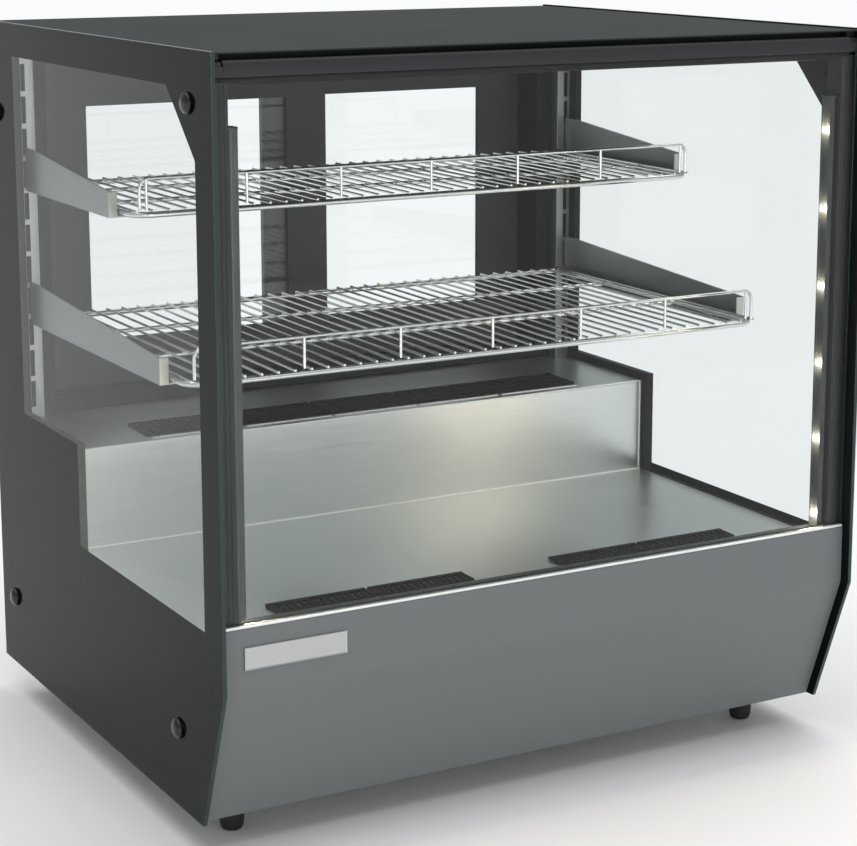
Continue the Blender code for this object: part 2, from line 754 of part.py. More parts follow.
housing = box(
    (-FAN_SIZE / 2, FAN_Y - FAN_SIZE / 2, FAN_Z),
    (FAN_SIZE / 2, FAN_Y + FAN_SIZE / 2, FAN_Z + FAN_DEPTH),
)
bore = rod(duct, 0.08, (0, FAN_Y, FAN_Z), (0, 0, 1), 32)
cut(bevel(housing, 0.0035, 2), bore)
motor = rod(0.020, 0.010, (0, FAN_Y, FAN_Z + 0.005), (0, 0, 1), 20)
arms = []
for i in range(3):
    arm = box((0, -0.003, 0), (FAN_SIZE / 2 - 0.002, 0.003, 0.005))
    arm.data.transform(Matrix.Translation(arm.location))
    arm.rotation_euler = (0, 0, radians(90 + 120 * i))
    arm.location = (0, FAN_Y, FAN_Z + 0.0005)
    arms.append(arm)
put(join(housing, motor, *arms), "fan_housing", black)

hub = rod(0.0185, 0.014, (0, FAN_Y, FAN_Z + 0.0180), (0, 0, 1), 20)
blades = []
for i in range(5):
    blade = box((0.012, -0.014, -0.0008), (0.050, 0.014, 0.0008))
    pitch = Matrix.Rotation(radians(24), 4, "X")
    blade.data.transform(pitch @ Matrix.Translation(blade.location))
    blade.rotation_euler = (0, 0, radians(72 * i))
    blade.location = (0, FAN_Y, FAN_Z + 0.0180)
    blades.append(blade)
put(join(hub, *blades), "fan_impeller", black)


def heater_path():
    """Two legs up from the bracket and a flat hairpin of four runs above the fan."""
    leg_x, leg_y = 0.074, FAN_Y + 0.045
    points = [(-leg_x, leg_y, FAN_Z + GAP)]
    runs = (0.045, 0.015, -0.015, -0.045)
    flat = []
    for i, run in enumerate(runs):
        ends = (-0.058, 0.058) if i % 2 == 0 else (0.058, -0.058)
        flat += [(ends[0], FAN_Y + run, HEATER_Z), (ends[1], FAN_Y + run, HEATER_Z)]
    points += [(-leg_x, leg_y, HEATER_Z - 0.010), (-leg_x + 0.006, leg_y, HEATER_Z)] + flat
    points += [(-leg_x, FAN_Y - 0.045, HEATER_Z), (-leg_x, FAN_Y - 0.045, FAN_Z + GAP)]
    return points


put(wire(heater_path(), 0.0035), "heater_element", steel)
terminals = box((0.150, 0.170, floor), (0.250, 0.250, FOOT + 0.070))
put(bevel(terminals, 0.003, 2), "terminal_box", light)
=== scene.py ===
# %% [markdown]
# # A counter-top hot food display case
#
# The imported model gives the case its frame: sixty nodes in real metres, with X across the front, Y from
# the front glass to the rear doors and Z up from the counter. This lesson dresses that frame. Sheet
# metal gets rounded bends, glass gets polished edges, wires become round, and each finish gets a
# material made of nodes. Wherever a node has a box, places are read from that box.

# %% Load the frame
import json
from math import cos, pi, radians, sin

import bmesh
import bpy
from mathutils import Matrix, Vector

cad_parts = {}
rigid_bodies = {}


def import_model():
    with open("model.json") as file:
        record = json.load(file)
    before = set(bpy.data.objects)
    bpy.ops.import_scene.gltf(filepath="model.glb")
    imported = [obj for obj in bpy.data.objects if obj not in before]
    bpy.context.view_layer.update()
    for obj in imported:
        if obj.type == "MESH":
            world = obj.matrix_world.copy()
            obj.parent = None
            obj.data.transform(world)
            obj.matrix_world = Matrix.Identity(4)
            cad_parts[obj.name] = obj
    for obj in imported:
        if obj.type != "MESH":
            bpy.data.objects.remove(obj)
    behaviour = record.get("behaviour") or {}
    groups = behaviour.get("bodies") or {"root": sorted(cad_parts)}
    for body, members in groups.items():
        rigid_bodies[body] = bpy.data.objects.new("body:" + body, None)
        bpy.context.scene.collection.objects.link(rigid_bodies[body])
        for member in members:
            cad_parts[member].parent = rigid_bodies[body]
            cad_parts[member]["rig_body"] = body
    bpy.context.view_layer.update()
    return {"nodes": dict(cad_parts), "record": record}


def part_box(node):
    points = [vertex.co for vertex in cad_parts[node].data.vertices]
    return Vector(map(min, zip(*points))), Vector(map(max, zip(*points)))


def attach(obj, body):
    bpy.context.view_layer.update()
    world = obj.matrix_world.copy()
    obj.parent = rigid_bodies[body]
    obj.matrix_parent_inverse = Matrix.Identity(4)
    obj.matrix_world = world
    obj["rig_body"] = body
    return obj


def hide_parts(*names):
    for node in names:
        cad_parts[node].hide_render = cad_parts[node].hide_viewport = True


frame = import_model()
nodes = frame["nodes"]

# %% [markdown]
# ## The camera, the floor and the light
#
# The case is seen from its front left, from a little above its roof. A long lens with a small shift keeps
# its uprights almost parallel, the way a product is usually shown. The floor is nearly white and the room
# is dimmer. One very broad overhead light keeps the floor even as far as it can be seen, and the
# roof of the case shades the food space from it. A wide soft lamp in front fills the front panel and the
# shelves. A lamp at the side was tried and left out, because it washed the deck out through the glass.

# %% Camera
CAMERA_PLACE = (-1.0968, -2.0185, 0.8572)
CAMERA_TURN = 29.51
CAMERA_DROP = 11.0
LENS = 94.24
SHIFT = (-0.0231, -0.1014)

scene = bpy.context.scene
camera_data = bpy.data.cameras.new("camera")
camera_data.lens = LENS
camera_data.sensor_width = 36
camera_data.shift_x, camera_data.shift_y = SHIFT
camera = bpy.data.objects.new("camera", camera_data)
camera.location = CAMERA_PLACE
camera.rotation_euler = (radians(90 - CAMERA_DROP), 0, -radians(CAMERA_TURN))
scene.collection.objects.link(camera)
scene.camera = camera
print("camera", CAMERA_PLACE, "lens", LENS)

# %% Room and lamps
scene.view_settings.view_transform = "Standard"
scene.view_settings.look = "None"

room = bpy.data.worlds.new("room")
room.use_nodes = True
room_light = room.node_tree.nodes["Background"]
room_light.inputs["Color"].default_value = (0.96, 0.98, 1.0, 1.0)
room_light.inputs["Strength"].default_value = 0.50
scene.world = room

# The front lamp is a wide soft box in front of the case, turned towards its middle.
FRONT_PLACE, FRONT_AIM = Vector((-0.55, -2.6, 0.55)), Vector((0, 0, 0.25))
soft_box = bpy.data.lights.new("front_lamp", "AREA")
soft_box.shape = "RECTANGLE"
soft_box.size, soft_box.size_y = 2.2, 1.0
soft_box.energy = 9
front_lamp = bpy.data.objects.new("front_lamp", soft_box)
front_lamp.location = FRONT_PLACE
front_lamp.rotation_euler = (FRONT_AIM - FRONT_PLACE).to_track_quat("-Z", "Y").to_euler()
scene.collection.objects.link(front_lamp)

overhead = bpy.data.lights.new("overhead", "SUN")
overhead.energy = 2.0
overhead.angle = radians(75)
overhead_lamp = bpy.data.objects.new("overhead", overhead)
overhead_lamp.rotation_euler = (radians(-3), radians(6), 0)
scene.collection.objects.link(overhead_lamp)

# %% Floor
FLOOR_HALF = 40.0

floor_bm = bmesh.new()
bmesh.ops.create_grid(floor_bm, x_segments=1, y_segments=1, size=FLOOR_HALF)
floor_mesh = bpy.data.meshes.new("floor")
floor_bm.to_mesh(floor_mesh)
floor_bm.free()
floor = bpy.data.objects.new("floor", floor_mesh)
scene.collection.objects.link(floor)
floor_paint = bpy.data.materials.new("floor_paint")
floor_paint.use_nodes = True
floor_shader = floor_paint.node_tree.nodes["Principled BSDF"]
floor_shader.inputs["Base Color"].default_value = (0.90, 0.90, 0.90, 1.0)
floor_shader.inputs["Roughness"].default_value = 0.65
floor_mesh.materials.append(floor_paint)
print("floor", 2 * FLOOR_HALF, "m wide")

# %% [markdown]
# ## Shared shader groups
#
# Four effects turn up on many finishes of this case, so each is one node group with named inputs and
# outputs. Paint grain is a fine noise that drives roughness and a bump height. Rolled grain is the same
# idea stretched along one axis, as rolling stretches the surface of a steel sheet. Edge rub finds sharp
# edges by their pointiness, where paint wears and plating shines. Handling is a slow, soft noise that
# changes the gloss, as wiping and fingers do. The groups give out masks and values only: the Principled
# shader stays in each material.

# %% A helper that starts a group
LINEAR_SLOTS = {"FLOAT": "NodeSocketFloat", "COLOUR": "NodeSocketColor", "VECTOR": "NodeSocketVector"}


def start_group(name, takes, gives):
    """A shader group with (name, kind, default) inputs and (name, kind) outputs."""
    tree = bpy.data.node_groups.new(name, "ShaderNodeTree")
    for label, kind, value in takes:
        socket = tree.interface.new_socket(label, in_out="INPUT", socket_type=LINEAR_SLOTS[kind])
        socket.default_value = value
    for label, kind in gives:
        tree.interface.new_socket(label, in_out="OUTPUT", socket_type=LINEAR_SLOTS[kind])
    return tree, tree.nodes.new("NodeGroupInput"), tree.nodes.new("NodeGroupOutput")


def give(tree, end, **results):
    """Join sockets to a group's outputs, by name."""
    for label, socket in results.items():
        tree.links.new(socket, end.inputs[label])


def remap(tree, value, low, high):
    """A Map Range node from 0..1 to low..high; low and high are numbers or sockets."""
    ranged = tree.nodes.new("ShaderNodeMapRange")
    tree.links.new(value, ranged.inputs["Value"])
    for socket, limit in (("To Min", low), ("To Max", high)):
        if isinstance(limit, (int, float)):
            ranged.inputs[socket].default_value = limit
        else:
            tree.links.new(limit, ranged.inputs[socket])
    return ranged.outputs["Result"]


def noise(tree, vector, scale, detail=3.0, rough=0.55):
    """A Noise Texture; scale is a number or a socket."""
    spots = tree.nodes.new("ShaderNodeTexNoise")
    spots.inputs["Detail"].default_value = detail
    spots.inputs["Roughness"].default_value = rough
    tree.links.new(vector, spots.inputs["Vector"])
    if isinstance(scale, (int, float)):
        spots.inputs["Scale"].default_value = scale
    else:
        tree.links.new(scale, spots.inputs["Scale"])
    return spots.outputs["Fac"]


print("group sockets", sorted(LINEAR_SLOTS))

# %% Paint grain
paint_grain, grain_in, grain_out = start_group(
    "paint_grain",
    [("Scale", "FLOAT", 900.0), ("Rough Low", "FLOAT", 0.35), ("Rough High", "FLOAT", 0.5)],
    [("Roughness", "FLOAT"), ("Height", "FLOAT"), ("Mottle", "FLOAT")],
)
grain_place = paint_grain.nodes.new("ShaderNodeTexCoord").outputs["Object"]
grain_fine = noise(paint_grain, grain_place, grain_in.outputs["Scale"], 2.0)
grain_slow = noise(paint_grain, grain_place, 9.0, 3.0)
grain_rough = remap(paint_grain, grain_slow, grain_in.outputs["Rough Low"], grain_in.outputs["Rough High"])
give(paint_grain, grain_out, Roughness=grain_rough, Height=grain_fine, Mottle=grain_slow)
print("group", paint_grain.name)

# %% Rolled grain
rolled_grain, rolled_in, rolled_out = start_group(
    "rolled_grain",
    [
        ("Stretch", "VECTOR", (18.0, 420.0, 420.0)),
        ("Rough Low", "FLOAT", 0.25),
        ("Rough High", "FLOAT", 0.45),
    ],
    [("Roughness", "FLOAT"), ("Height", "FLOAT"), ("Streak", "FLOAT"), ("Speckle", "FLOAT")],
)
rolled_place = rolled_grain.nodes.new("ShaderNodeTexCoord").outputs["Object"]
rolled_scale = rolled_grain.nodes.new("ShaderNodeVectorMath")
rolled_scale.operation = "MULTIPLY"
rolled_grain.links.new(rolled_place, rolled_scale.inputs[0])
rolled_grain.links.new(rolled_in.outputs["Stretch"], rolled_scale.inputs[1])
streak = noise(rolled_grain, rolled_scale.outputs["Vector"], 1.0, 4.0, 0.6)
speckle = noise(rolled_grain, rolled_place, 650.0, 2.0, 0.7)
rolled_rough = remap(rolled_grain, streak, rolled_in.outputs["Rough Low"], rolled_in.outputs["Rough High"])
give(rolled_grain, rolled_out, Roughness=rolled_rough, Height=streak, Streak=streak, Speckle=speckle)
print("group", rolled_grain.name)

# %% Edge rub and handling
edge_rub, rub_in, rub_out = start_group("edge_rub", [("Amount", "FLOAT", 0.5)], [("Mask", "FLOAT")])
rub_shape = edge_rub.nodes.new("ShaderNodeNewGeometry").outputs["Pointiness"]
rub_range = edge_rub.nodes.new("ShaderNodeMapRange")
rub_range.inputs["From Min"].default_value = 0.52
rub_range.inputs["From Max"].default_value = 0.62
edge_rub.links.new(rub_shape, rub_range.inputs["Value"])
edge_rub.links.new(rub_in.outputs["Amount"], rub_range.inputs["To Max"])
give(edge_rub, rub_out, Mask=rub_range.outputs["Result"])

handling, hand_in, hand_out = start_group(
    "handling",
    [("Clean", "FLOAT", 0.02), ("Wiped", "FLOAT", 0.08)],
    [("Roughness", "FLOAT")],
)
hand_place = handling.nodes.new("ShaderNodeTexCoord").outputs["Object"]
hand_noise = noise(handling, hand_place, 5.5, 2.0)
hand_rough = remap(handling, hand_noise, hand_in.outputs["Clean"], hand_in.outputs["Wiped"])
give(handling, hand_out, Roughness=hand_rough)
print("groups", [g.name for g in bpy.data.node_groups])

# %% [markdown]
# ## Finishes
#
# Each finish is a function of its own material. The steady numbers, such as how metallic a sheet is, are
# set straight on the Principled sockets. What changes over the surface comes through the groups. Two
# small helpers do the wiring: one places a group with its own values, the other mixes two colours by a
# mask.

# %% Wiring helpers
def new_finish(name, metallic=0.0, specular=0.5):
    """An empty material; gives its node tree and its Principled shader."""
    mat = bpy.data.materials.new(name)
    mat.use_nodes = True
    shader = mat.node_tree.nodes["Principled BSDF"]
    shader.inputs["Metallic"].default_value = metallic
    shader.inputs["Specular IOR Level"].default_value = specular
    return mat, mat.node_tree, shader


def use_group(tree, group, **values):
    """Place a group; a value's name is the input's name with _ for a space."""
    node = tree.nodes.new("ShaderNodeGroup")
    node.node_tree = group
    for label, value in values.items():
        node.inputs[label.replace("_", " ")].default_value = value
    return node


def two_tone(tree, mask, dark, light):
    """A colour that goes from dark to light as the mask goes from 0 to 1."""
    blend = tree.nodes.new("ShaderNodeMix")
    blend.data_type = "RGBA"
    colours = [s for s in blend.inputs if s.type == "RGBA"]
    if isinstance(dark, tuple):
        colours[0].default_value = (*dark, 1.0)
    else:
        tree.links.new(dark, colours[0])
    colours[1].default_value = (*light, 1.0)
    tree.links.new(mask, blend.inputs["Factor"])
    return next(s for s in blend.outputs if s.type == "RGBA")


def raise_grain(tree, shader, height, strength):
    """A Bump node on the shader's normal, a fifth of a millimetre deep."""
    bump = tree.nodes.new("ShaderNodeBump")
    bump.inputs["Strength"].default_value = strength
    bump.inputs["Distance"].default_value = 0.0002
    tree.links.new(height, bump.inputs["Height"])
    tree.links.new(bump.outputs["Normal"], shader.inputs["Normal"])


print("helpers ready")

# %% Painted, moulded and anodised finishes
def coated(name, colour, rough, scale, bump=0.15, rub=0.35, lift=1.35, specular=0.5):
    """Powder coat or moulded plastic: fine grain, slow mottling and slightly paler edges."""
    mat, tree, shader = new_finish(name, 0.0, specular)
    grain = use_group(tree, paint_grain, Scale=scale, Rough_Low=rough[0], Rough_High=rough[1])
    worn = use_group(tree, edge_rub, Amount=rub)
    pale = tuple(min(c * lift, 1.0) for c in colour)
    bright = tuple(min(c * 2.2 + 0.02, 1.0) for c in colour)
    base = two_tone(tree, grain.outputs["Mottle"], colour, pale)
    edged = two_tone(tree, worn.outputs["Mask"], base, bright)
    tree.links.new(edged, shader.inputs["Base Color"])
    tree.links.new(grain.outputs["Roughness"], shader.inputs["Roughness"])
    raise_grain(tree, shader, grain.outputs["Height"], bump)
    return mat


roof_coat = coated("roof_coat", (0.020, 0.025, 0.025), (0.50, 0.60), 1400.0, 0.04, 0.3, 1.2, specular=0.08)
front_coat = coated("front_coat", (0.119, 0.129, 0.133), (0.42, 0.52), 1600.0, 0.10, 0.3, 1.08)
back_coat = coated("back_coat", (0.030, 0.033, 0.033), (0.36, 0.48), 1500.0, 0.10)
black_liner = coated(
    "black_liner", (0.008, 0.009, 0.009), (0.46, 0.58), 1100.0, 0.08, 0.1, 1.2, specular=0.14
)
black_satin = coated("black_satin", (0.010, 0.011, 0.011), (0.34, 0.46), 1200.0, 0.06, 0.2, 1.3, specular=0.3)
clamp_coat = coated("clamp_coat", (0.018, 0.018, 0.020), (0.34, 0.44), 1500.0, 0.06, 0.3, 1.2, specular=0.35)
door_coat = coated("door_coat", (0.026, 0.029, 0.029), (0.40, 0.50), 1400.0, 0.06, 0.2, 1.2, specular=0.3)
moulded_black = coated(
    "moulded_black", (0.005, 0.005, 0.0055), (0.50, 0.62), 700.0, 0.2, 0.1, 1.3, specular=0.08
)
bolt_gloss = coated("bolt_gloss", (0.008, 0.008, 0.009), (0.18, 0.28), 500.0, 0.05, 0.2, 1.3)
foot_rubber = coated("foot_rubber", (0.010, 0.010, 0.010), (0.50, 0.66), 500.0, 0.3)
moulded_grey = coated("moulded_grey", (0.36, 0.37, 0.36), (0.4, 0.52), 700.0, 0.2)
print("coats ready")

# %% [markdown]
# Bare steel is not one grey. Rolling leaves fine streaks along the sheet, and zinc and chrome differ in how
# sharply they mirror. So each steel has a dark and a light tone, a streak direction and a range of
# roughness. The deck is the brightest sheet, the shelf wires are the smoothest metal, and the light bars
# are dark. The bars have no rubbed edges, because on a bar this thin the rub would cover the whole face.

# %% Steel finishes
def rolled(name, dark, light, rough, stretch, bump=0.05, metallic=1.0, rub=0.6):
    """Bare or plated sheet: streaks along the rolling direction and a fine speckle."""
    mat, tree, shader = new_finish(name, metallic)
    grain = use_group(tree, rolled_grain, Stretch=stretch, Rough_Low=rough[0], Rough_High=rough[1])
    worn = use_group(tree, edge_rub, Amount=rub)
    both = tree.nodes.new("ShaderNodeMix")
    both.inputs["Factor"].default_value = 0.35
    tree.links.new(grain.outputs["Streak"], both.inputs["A"])
    tree.links.new(grain.outputs["Speckle"], both.inputs["B"])
    base = two_tone(tree, both.outputs["Result"], dark, light)
    edged = two_tone(tree, worn.outputs["Mask"], base, (0.86, 0.88, 0.87))
    tree.links.new(edged, shader.inputs["Base Color"])
    tree.links.new(grain.outputs["Roughness"], shader.inputs["Roughness"])
    raise_grain(tree, shader, grain.outputs["Height"], bump)
    return mat


deck_steel = rolled(
    "deck_steel", (0.45, 0.495, 0.488), (0.70, 0.745, 0.735), (0.24, 0.42), (26.0, 420.0, 420.0)
)
zinc_steel = rolled(
    "zinc_steel", (0.180, 0.201, 0.196), (0.30, 0.327, 0.319), (0.36, 0.5), (160.0, 60.0, 160.0), rub=0.35
)
pan_steel = rolled("pan_steel", (0.40, 0.42, 0.42), (0.62, 0.64, 0.64), (0.36, 0.5), (120.0, 30.0, 120.0))
badge_metal = rolled("badge_metal", (0.42, 0.43, 0.43), (0.58, 0.59, 0.59), (0.3, 0.42), (60.0, 900.0, 900.0))
heater_tube = rolled("heater_tube", (0.22, 0.19, 0.16), (0.36, 0.33, 0.30), (0.35, 0.5), (90.0, 90.0, 90.0))
wire_chrome = rolled(
    "wire_chrome", (0.62, 0.64, 0.63), (0.86, 0.87, 0.86), (0.10, 0.22), (300.0, 40.0, 300.0), 0.02
)
print("steels ready")

# %% [markdown]
# Float glass has an index near 1.5. With a pale floor on every side that index mirrors so much floor that
# the black border and the food space turn grey. So the side panes and the front glass get a lower index,
# and only the door glass keeps one near the real value. Lamp rays pass straight through every pane. If
# they bent instead, the food space would be lit only by chance hits and stay noisy.

# %% Glass, enamel and lamps
def pane_glass(name, tint, wiped, index=1.42):
    """Clear float glass that lets lamp rays straight through, so that the food space is lit."""
    mat, tree, shader = new_finish(name)
    shader.inputs["Base Color"].default_value = (*tint, 1.0)
    shader.inputs["Transmission Weight"].default_value = 1.0
    shader.inputs["IOR"].default_value = index
    touched = use_group(tree, handling, Clean=0.0, Wiped=wiped)
    tree.links.new(touched.outputs["Roughness"], shader.inputs["Roughness"])
    open_way = tree.nodes.new("ShaderNodeBsdfTransparent")
    open_way.inputs["Color"].default_value = (*[0.5 + 0.5 * c for c in tint], 1.0)
    ray = tree.nodes.new("ShaderNodeLightPath")
    choice = tree.nodes.new("ShaderNodeMixShader")
    tree.links.new(ray.outputs["Is Shadow Ray"], choice.inputs["Fac"])
    tree.links.new(shader.outputs["BSDF"], choice.inputs[1])
    tree.links.new(open_way.outputs["BSDF"], choice.inputs[2])
    tree.links.new(choice.outputs["Shader"], tree.nodes["Material Output"].inputs["Surface"])
    return mat


def lamp_lens(name, colour, strength):
    """A lamp's lens that gives out light."""
    mat, tree, shader = new_finish(name)
    shader.inputs["Base Color"].default_value = (0.9, 0.85, 0.7, 1.0)
    shader.inputs["Roughness"].default_value = 0.3
    glow = tree.nodes.new("ShaderNodeTexCoord")
    spread = noise(tree, glow.outputs["Object"], 300.0, 1.0)
    tree.links.new(two_tone(tree, spread, colour, (1.0, 0.93, 0.82)), shader.inputs["Emission Color"])
    shader.inputs["Emission Strength"].default_value = strength
    return mat


clear_pane = pane_glass("clear_pane", (0.965, 0.985, 0.980), 0.012, 1.24)
side_pane = pane_glass("side_pane", (0.865, 0.890, 0.885), 0.012, 1.135)
door_pane = pane_glass("door_pane", (0.955, 0.975, 0.970), 0.03)
glass_edge = coated("glass_edge", (0.006, 0.022, 0.021), (0.06, 0.14), 300.0, 0.02, 0.2, 1.5)
enamel = coated("enamel", (0.009, 0.0105, 0.0105), (0.50, 0.52), 600.0, 0.0, 0.0, 1.0, specular=0.0)
# painted_highlight: a near-white, barely metallic finish that paints highlights onto the glazing bead, the
# slot lips and the step's folds.
painted_highlight = rolled(
    "painted_highlight", (0.80, 0.82, 0.82), (0.92, 0.93, 0.93), (0.30, 0.42), (40.0, 600.0, 600.0), 0.02, 0.25
)
bar_metal = rolled(
    "bar_metal", (0.050, 0.057, 0.057), (0.080, 0.089, 0.089), (0.30, 0.40), (500.0, 500.0, 30.0), 0.02,
    0.85, rub=0.0,
)
warm_lens = lamp_lens("warm_lens", (1.0, 0.80, 0.56), 60.0)
marking = coated("marking", (0.62, 0.63, 0.62), (0.4, 0.5), 600.0, 0.05, 0.0)
print("materials", len(bpy.data.materials))

# %% [markdown]
# ## Dressing the model's own nodes
#
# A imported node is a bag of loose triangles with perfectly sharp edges. Real folded sheet and moulded
# parts have small radii that catch the light, and those bright lines are what the eye reads as an edge.
# So most nodes are dressed the same way: a copy of the mesh is merged, its flat triangles are dissolved
# into whole faces, and every sharp edge is bevelled. The copy stands for the node, and the node itself is
# left as it is.

# %% Rounded copies
def even_light(piece):
    """Let large flat faces decide the shading beside their narrow rounded edges."""
    weigh = piece.modifiers.new("even_light", "WEIGHTED_NORMAL")
    weigh.keep_sharp = True
    return piece


def settle(bm, name, *mats, sharp=38, even=True):
    """Write a bmesh to a new object with its materials, smooth, with sharp folds marked."""
    bmesh.ops.recalc_face_normals(bm, faces=bm.faces)
    mesh = bpy.data.meshes.new(name)
    bm.to_mesh(mesh)
    bm.free()
    for mat in mats:
        mesh.materials.append(mat)
    mesh.shade_smooth()
    mesh.set_sharp_from_angle(angle=radians(sharp))
    piece = bpy.data.objects.new(name, mesh)
    scene.collection.objects.link(piece)
    return even_light(piece) if even else piece


def dress(piece, body, slot, *stands_for):
    """A piece rides on a body and may stand for nodes; slot is not used."""
    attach(piece, body)
    if stands_for:
        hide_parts(*stands_for)
    return piece


def sharp_edges(bm, angle=30):
    """Edges where two faces meet at more than an angle."""
    return [e for e in bm.edges if len(e.link_faces) == 2 and e.calc_face_angle(0) > radians(angle)]


def round_over(bm, edges, width, segments=2):
    """Bevel edges to a small radius."""
    bmesh.ops.bevel(
        bm, geom=edges, offset=width, affect="EDGES", segments=segments, profile=0.5,
        clamp_overlap=True, material=-1,
    )


def body_of(node):
    """The body that a node rides on."""
    return nodes[node]["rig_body"]


def slot_of(node):
    """The material slot that the record gives a node."""
    return next(s["material_slot"] for s in frame["record"]["subparts"] if s["node"] == node)


def merged(node):
    """A bmesh of a node with its corners merged and its flat triangles dissolved."""
    bm = bmesh.new()
    bm.from_mesh(nodes[node].data)
    bmesh.ops.remove_doubles(bm, verts=bm.verts, dist=0.00001)
    bmesh.ops.dissolve_limit(bm, angle_limit=radians(0.5), verts=bm.verts, edges=bm.edges)
    return bm


def rounded(node, mat, width=0.0006, segments=2, angle=30, name=None):
    """A copy of a node with its sharp edges rounded over, standing for the node."""
    bm = merged(node)
    round_over(bm, sharp_edges(bm, angle), width, segments)
    piece = settle(bm, name or node + "_shell", mat)
    return dress(piece, body_of(node), slot_of(node), node)


print("helpers ready")

# %% [markdown]
# ## Sheet metal, frames and doors
#
# The roof, the rear panel, the shelf brackets, the slotted rails and the door frames are all flat
# stock, so they only need radii in proportion: half a millimetre on folded sheet, a little more on the
# extruded door profiles. A taller radius would make them look like soap.

# %% Round the flat stock
FLAT_STOCK = {
    "top_cover": (roof_coat, 0.0006),
    "rear_panel": (back_coat, 0.0004),
    "base_pan": (pan_steel, 0.0004),
    "ceiling_panel": (black_liner, 0.0012),
    "side_frame_left": (black_liner, 0.0008),
    "side_frame_right": (black_liner, 0.0008),
    "door_frame": (black_liner, 0.0008),
    "door_left_frame": (door_coat, 0.0009),
    "door_right_frame": (door_coat, 0.0009),
    "control_plate": (black_satin, 0.0006),
    "fan_bracket": (pan_steel, 0.0003),
    "terminal_box": (moulded_grey, 0.0005),
}
for node, (mat, width) in FLAT_STOCK.items():
    piece = rounded(node, mat, width)
    print(piece.name, len(piece.data.polygons), "faces")

# %% Round the shelf brackets and the slotted rails
for side in ("left", "right"):
    for level in ("upper", "lower"):
        rounded(level + "_bracket_" + side, zinc_steel, 0.00035)
    rail = rounded("shelf_rail_" + side, zinc_steel, 0.00035)
print("rails", len(rail.data.polygons), "faces each")

# %% [markdown]
# ## The panes
#
# Each side pane is 4 mm float glass with ground and polished edges. Seen through its edge, glass looks
# dark green, because light travels a long way inside it. A pane here is one closed solid with two
# materials: clear on its faces and dark teal on its narrow rim. The rim is found by the way its faces
# point. The panes are shaded flat, since any bent shading on a sheet of glass shows as a wave in whatever
# stands behind it.

# %% Cut and polish the panes
CLEAR, RIM, INK = 0, 1, 2


def ground_pane(node, axis, width=0.0005):
    """A rounded copy of a pane whose faces across the axis are clear and whose rim is dark."""
    bm = merged(node)
    round_over(bm, sharp_edges(bm, 60), width, 2)
    for face in bm.faces:
        face.material_index = CLEAR if abs(face.normal[axis]) > 0.98 else RIM
    return bm


def mount_pane(bm, node, *mats):
    """Hang a ground pane in place of its node, shaded flat."""
    piece = settle(bm, node + "_pane", *mats, even=False)
    piece.data.shade_flat()
    return dress(piece, body_of(node), slot_of(node), node)


for side in ("left", "right"):
    mount_pane(ground_pane("door_" + side + "_glass", 1), "door_" + side + "_glass", door_pane, glass_edge)
front_pane = mount_pane(ground_pane("front_glass", 1), "front_glass", clear_pane, glass_edge)
print("front pane", [round(v, 4) for v in front_pane.dimensions])

# %% [markdown]
# ## The enamel border
#
# The border is ceramic ink fired onto the back of each side pane. It hides the frame and leaves a window
# with one cut corner at the top front and a step at the bottom that follows the deck. Fired ink is part
# of the glass: there is no air between them, so only the front of the pane reflects. A separate layer
# with a gap was tried first. It reflected three times over and turned the black border grey. So the back
# face of the pane is cut along the window's lines and every face outside the window takes the ink's
# material. Filling the ring between two outlines was the other way. It left gaps, so the area is checked.

# %% Print the side panes
SIDES = ((-1, "left"), (1, "right"))
WINDOW_FRONT, WINDOW_BACK, WINDOW_TOP = -0.257, 0.213, 0.700
WINDOW_STEP, STEP_RISE, CHAMFER = 0.055, 0.105, 0.061
STEP_FALL, SIGHT_RISE = 0.104, 0.008
deck_low, deck_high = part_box("deck")
step_height = deck_high.z
deck_height = step_height - STEP_FALL
sight_line = deck_height + SIGHT_RISE
WINDOW = [
    (WINDOW_FRONT, sight_line), (WINDOW_STEP, sight_line), (WINDOW_STEP, sight_line + STEP_RISE),
    (WINDOW_BACK, sight_line + STEP_RISE), (WINDOW_BACK, WINDOW_TOP), (WINDOW_FRONT + CHAMFER, WINDOW_TOP),
    (WINDOW_FRONT, WINDOW_TOP - CHAMFER),
]


def in_window(y, z):
    """Whether a point lies inside the window's outline."""
    inside = False
    for (y0, z0), (y1, z1) in zip(WINDOW, WINDOW[1:] + WINDOW[:1]):
        if (z0 > z) != (z1 > z) and y < y0 + (z - z0) * (y1 - y0) / (z1 - z0):
            inside = not inside
    return inside


def back_faces(bm, side):
    """The flat faces on the inner side of a pane."""
    reach = min(v.co.x * side for v in bm.verts)
    return [f for f in bm.faces if all(abs(v.co.x * side - reach) < 0.00001 for v in f.verts)]


def printed_pane(side, word):
    """A side pane whose back face is cut along the window's lines; what lies outside is inked."""
    bm = ground_pane("side_glass_" + word, 0)
    whole = sum(f.calc_area() for f in back_faces(bm, side))
    for (y0, z0), (y1, z1) in zip(WINDOW, WINDOW[1:] + WINDOW[:1]):
        back = back_faces(bm, side)
        touched = list(dict.fromkeys(part for f in back for part in [f, *f.edges, *f.verts]))
        bmesh.ops.bisect_plane(
            bm, geom=touched, dist=0.000001, plane_co=(0, y0, z0), plane_no=(0, z1 - z0, y0 - y1)
        )
    printed = 0.0
    for face in back_faces(bm, side):
        middle = face.calc_center_median()
        face.material_index = CLEAR if in_window(middle.y, middle.z) else INK
        printed += face.calc_area()
    if abs(printed - whole) > 0.000001:
        raise ValueError("the back of a side pane has a gap")
    return mount_pane(bm, "side_glass_" + word, side_pane, glass_edge, enamel)


for side, word in SIDES:
    pane = printed_pane(side, word)
inked = sum(f.area for f in pane.data.polygons if f.material_index == INK)
print("ink covers", round(inked, 3), "m2 of each side pane")

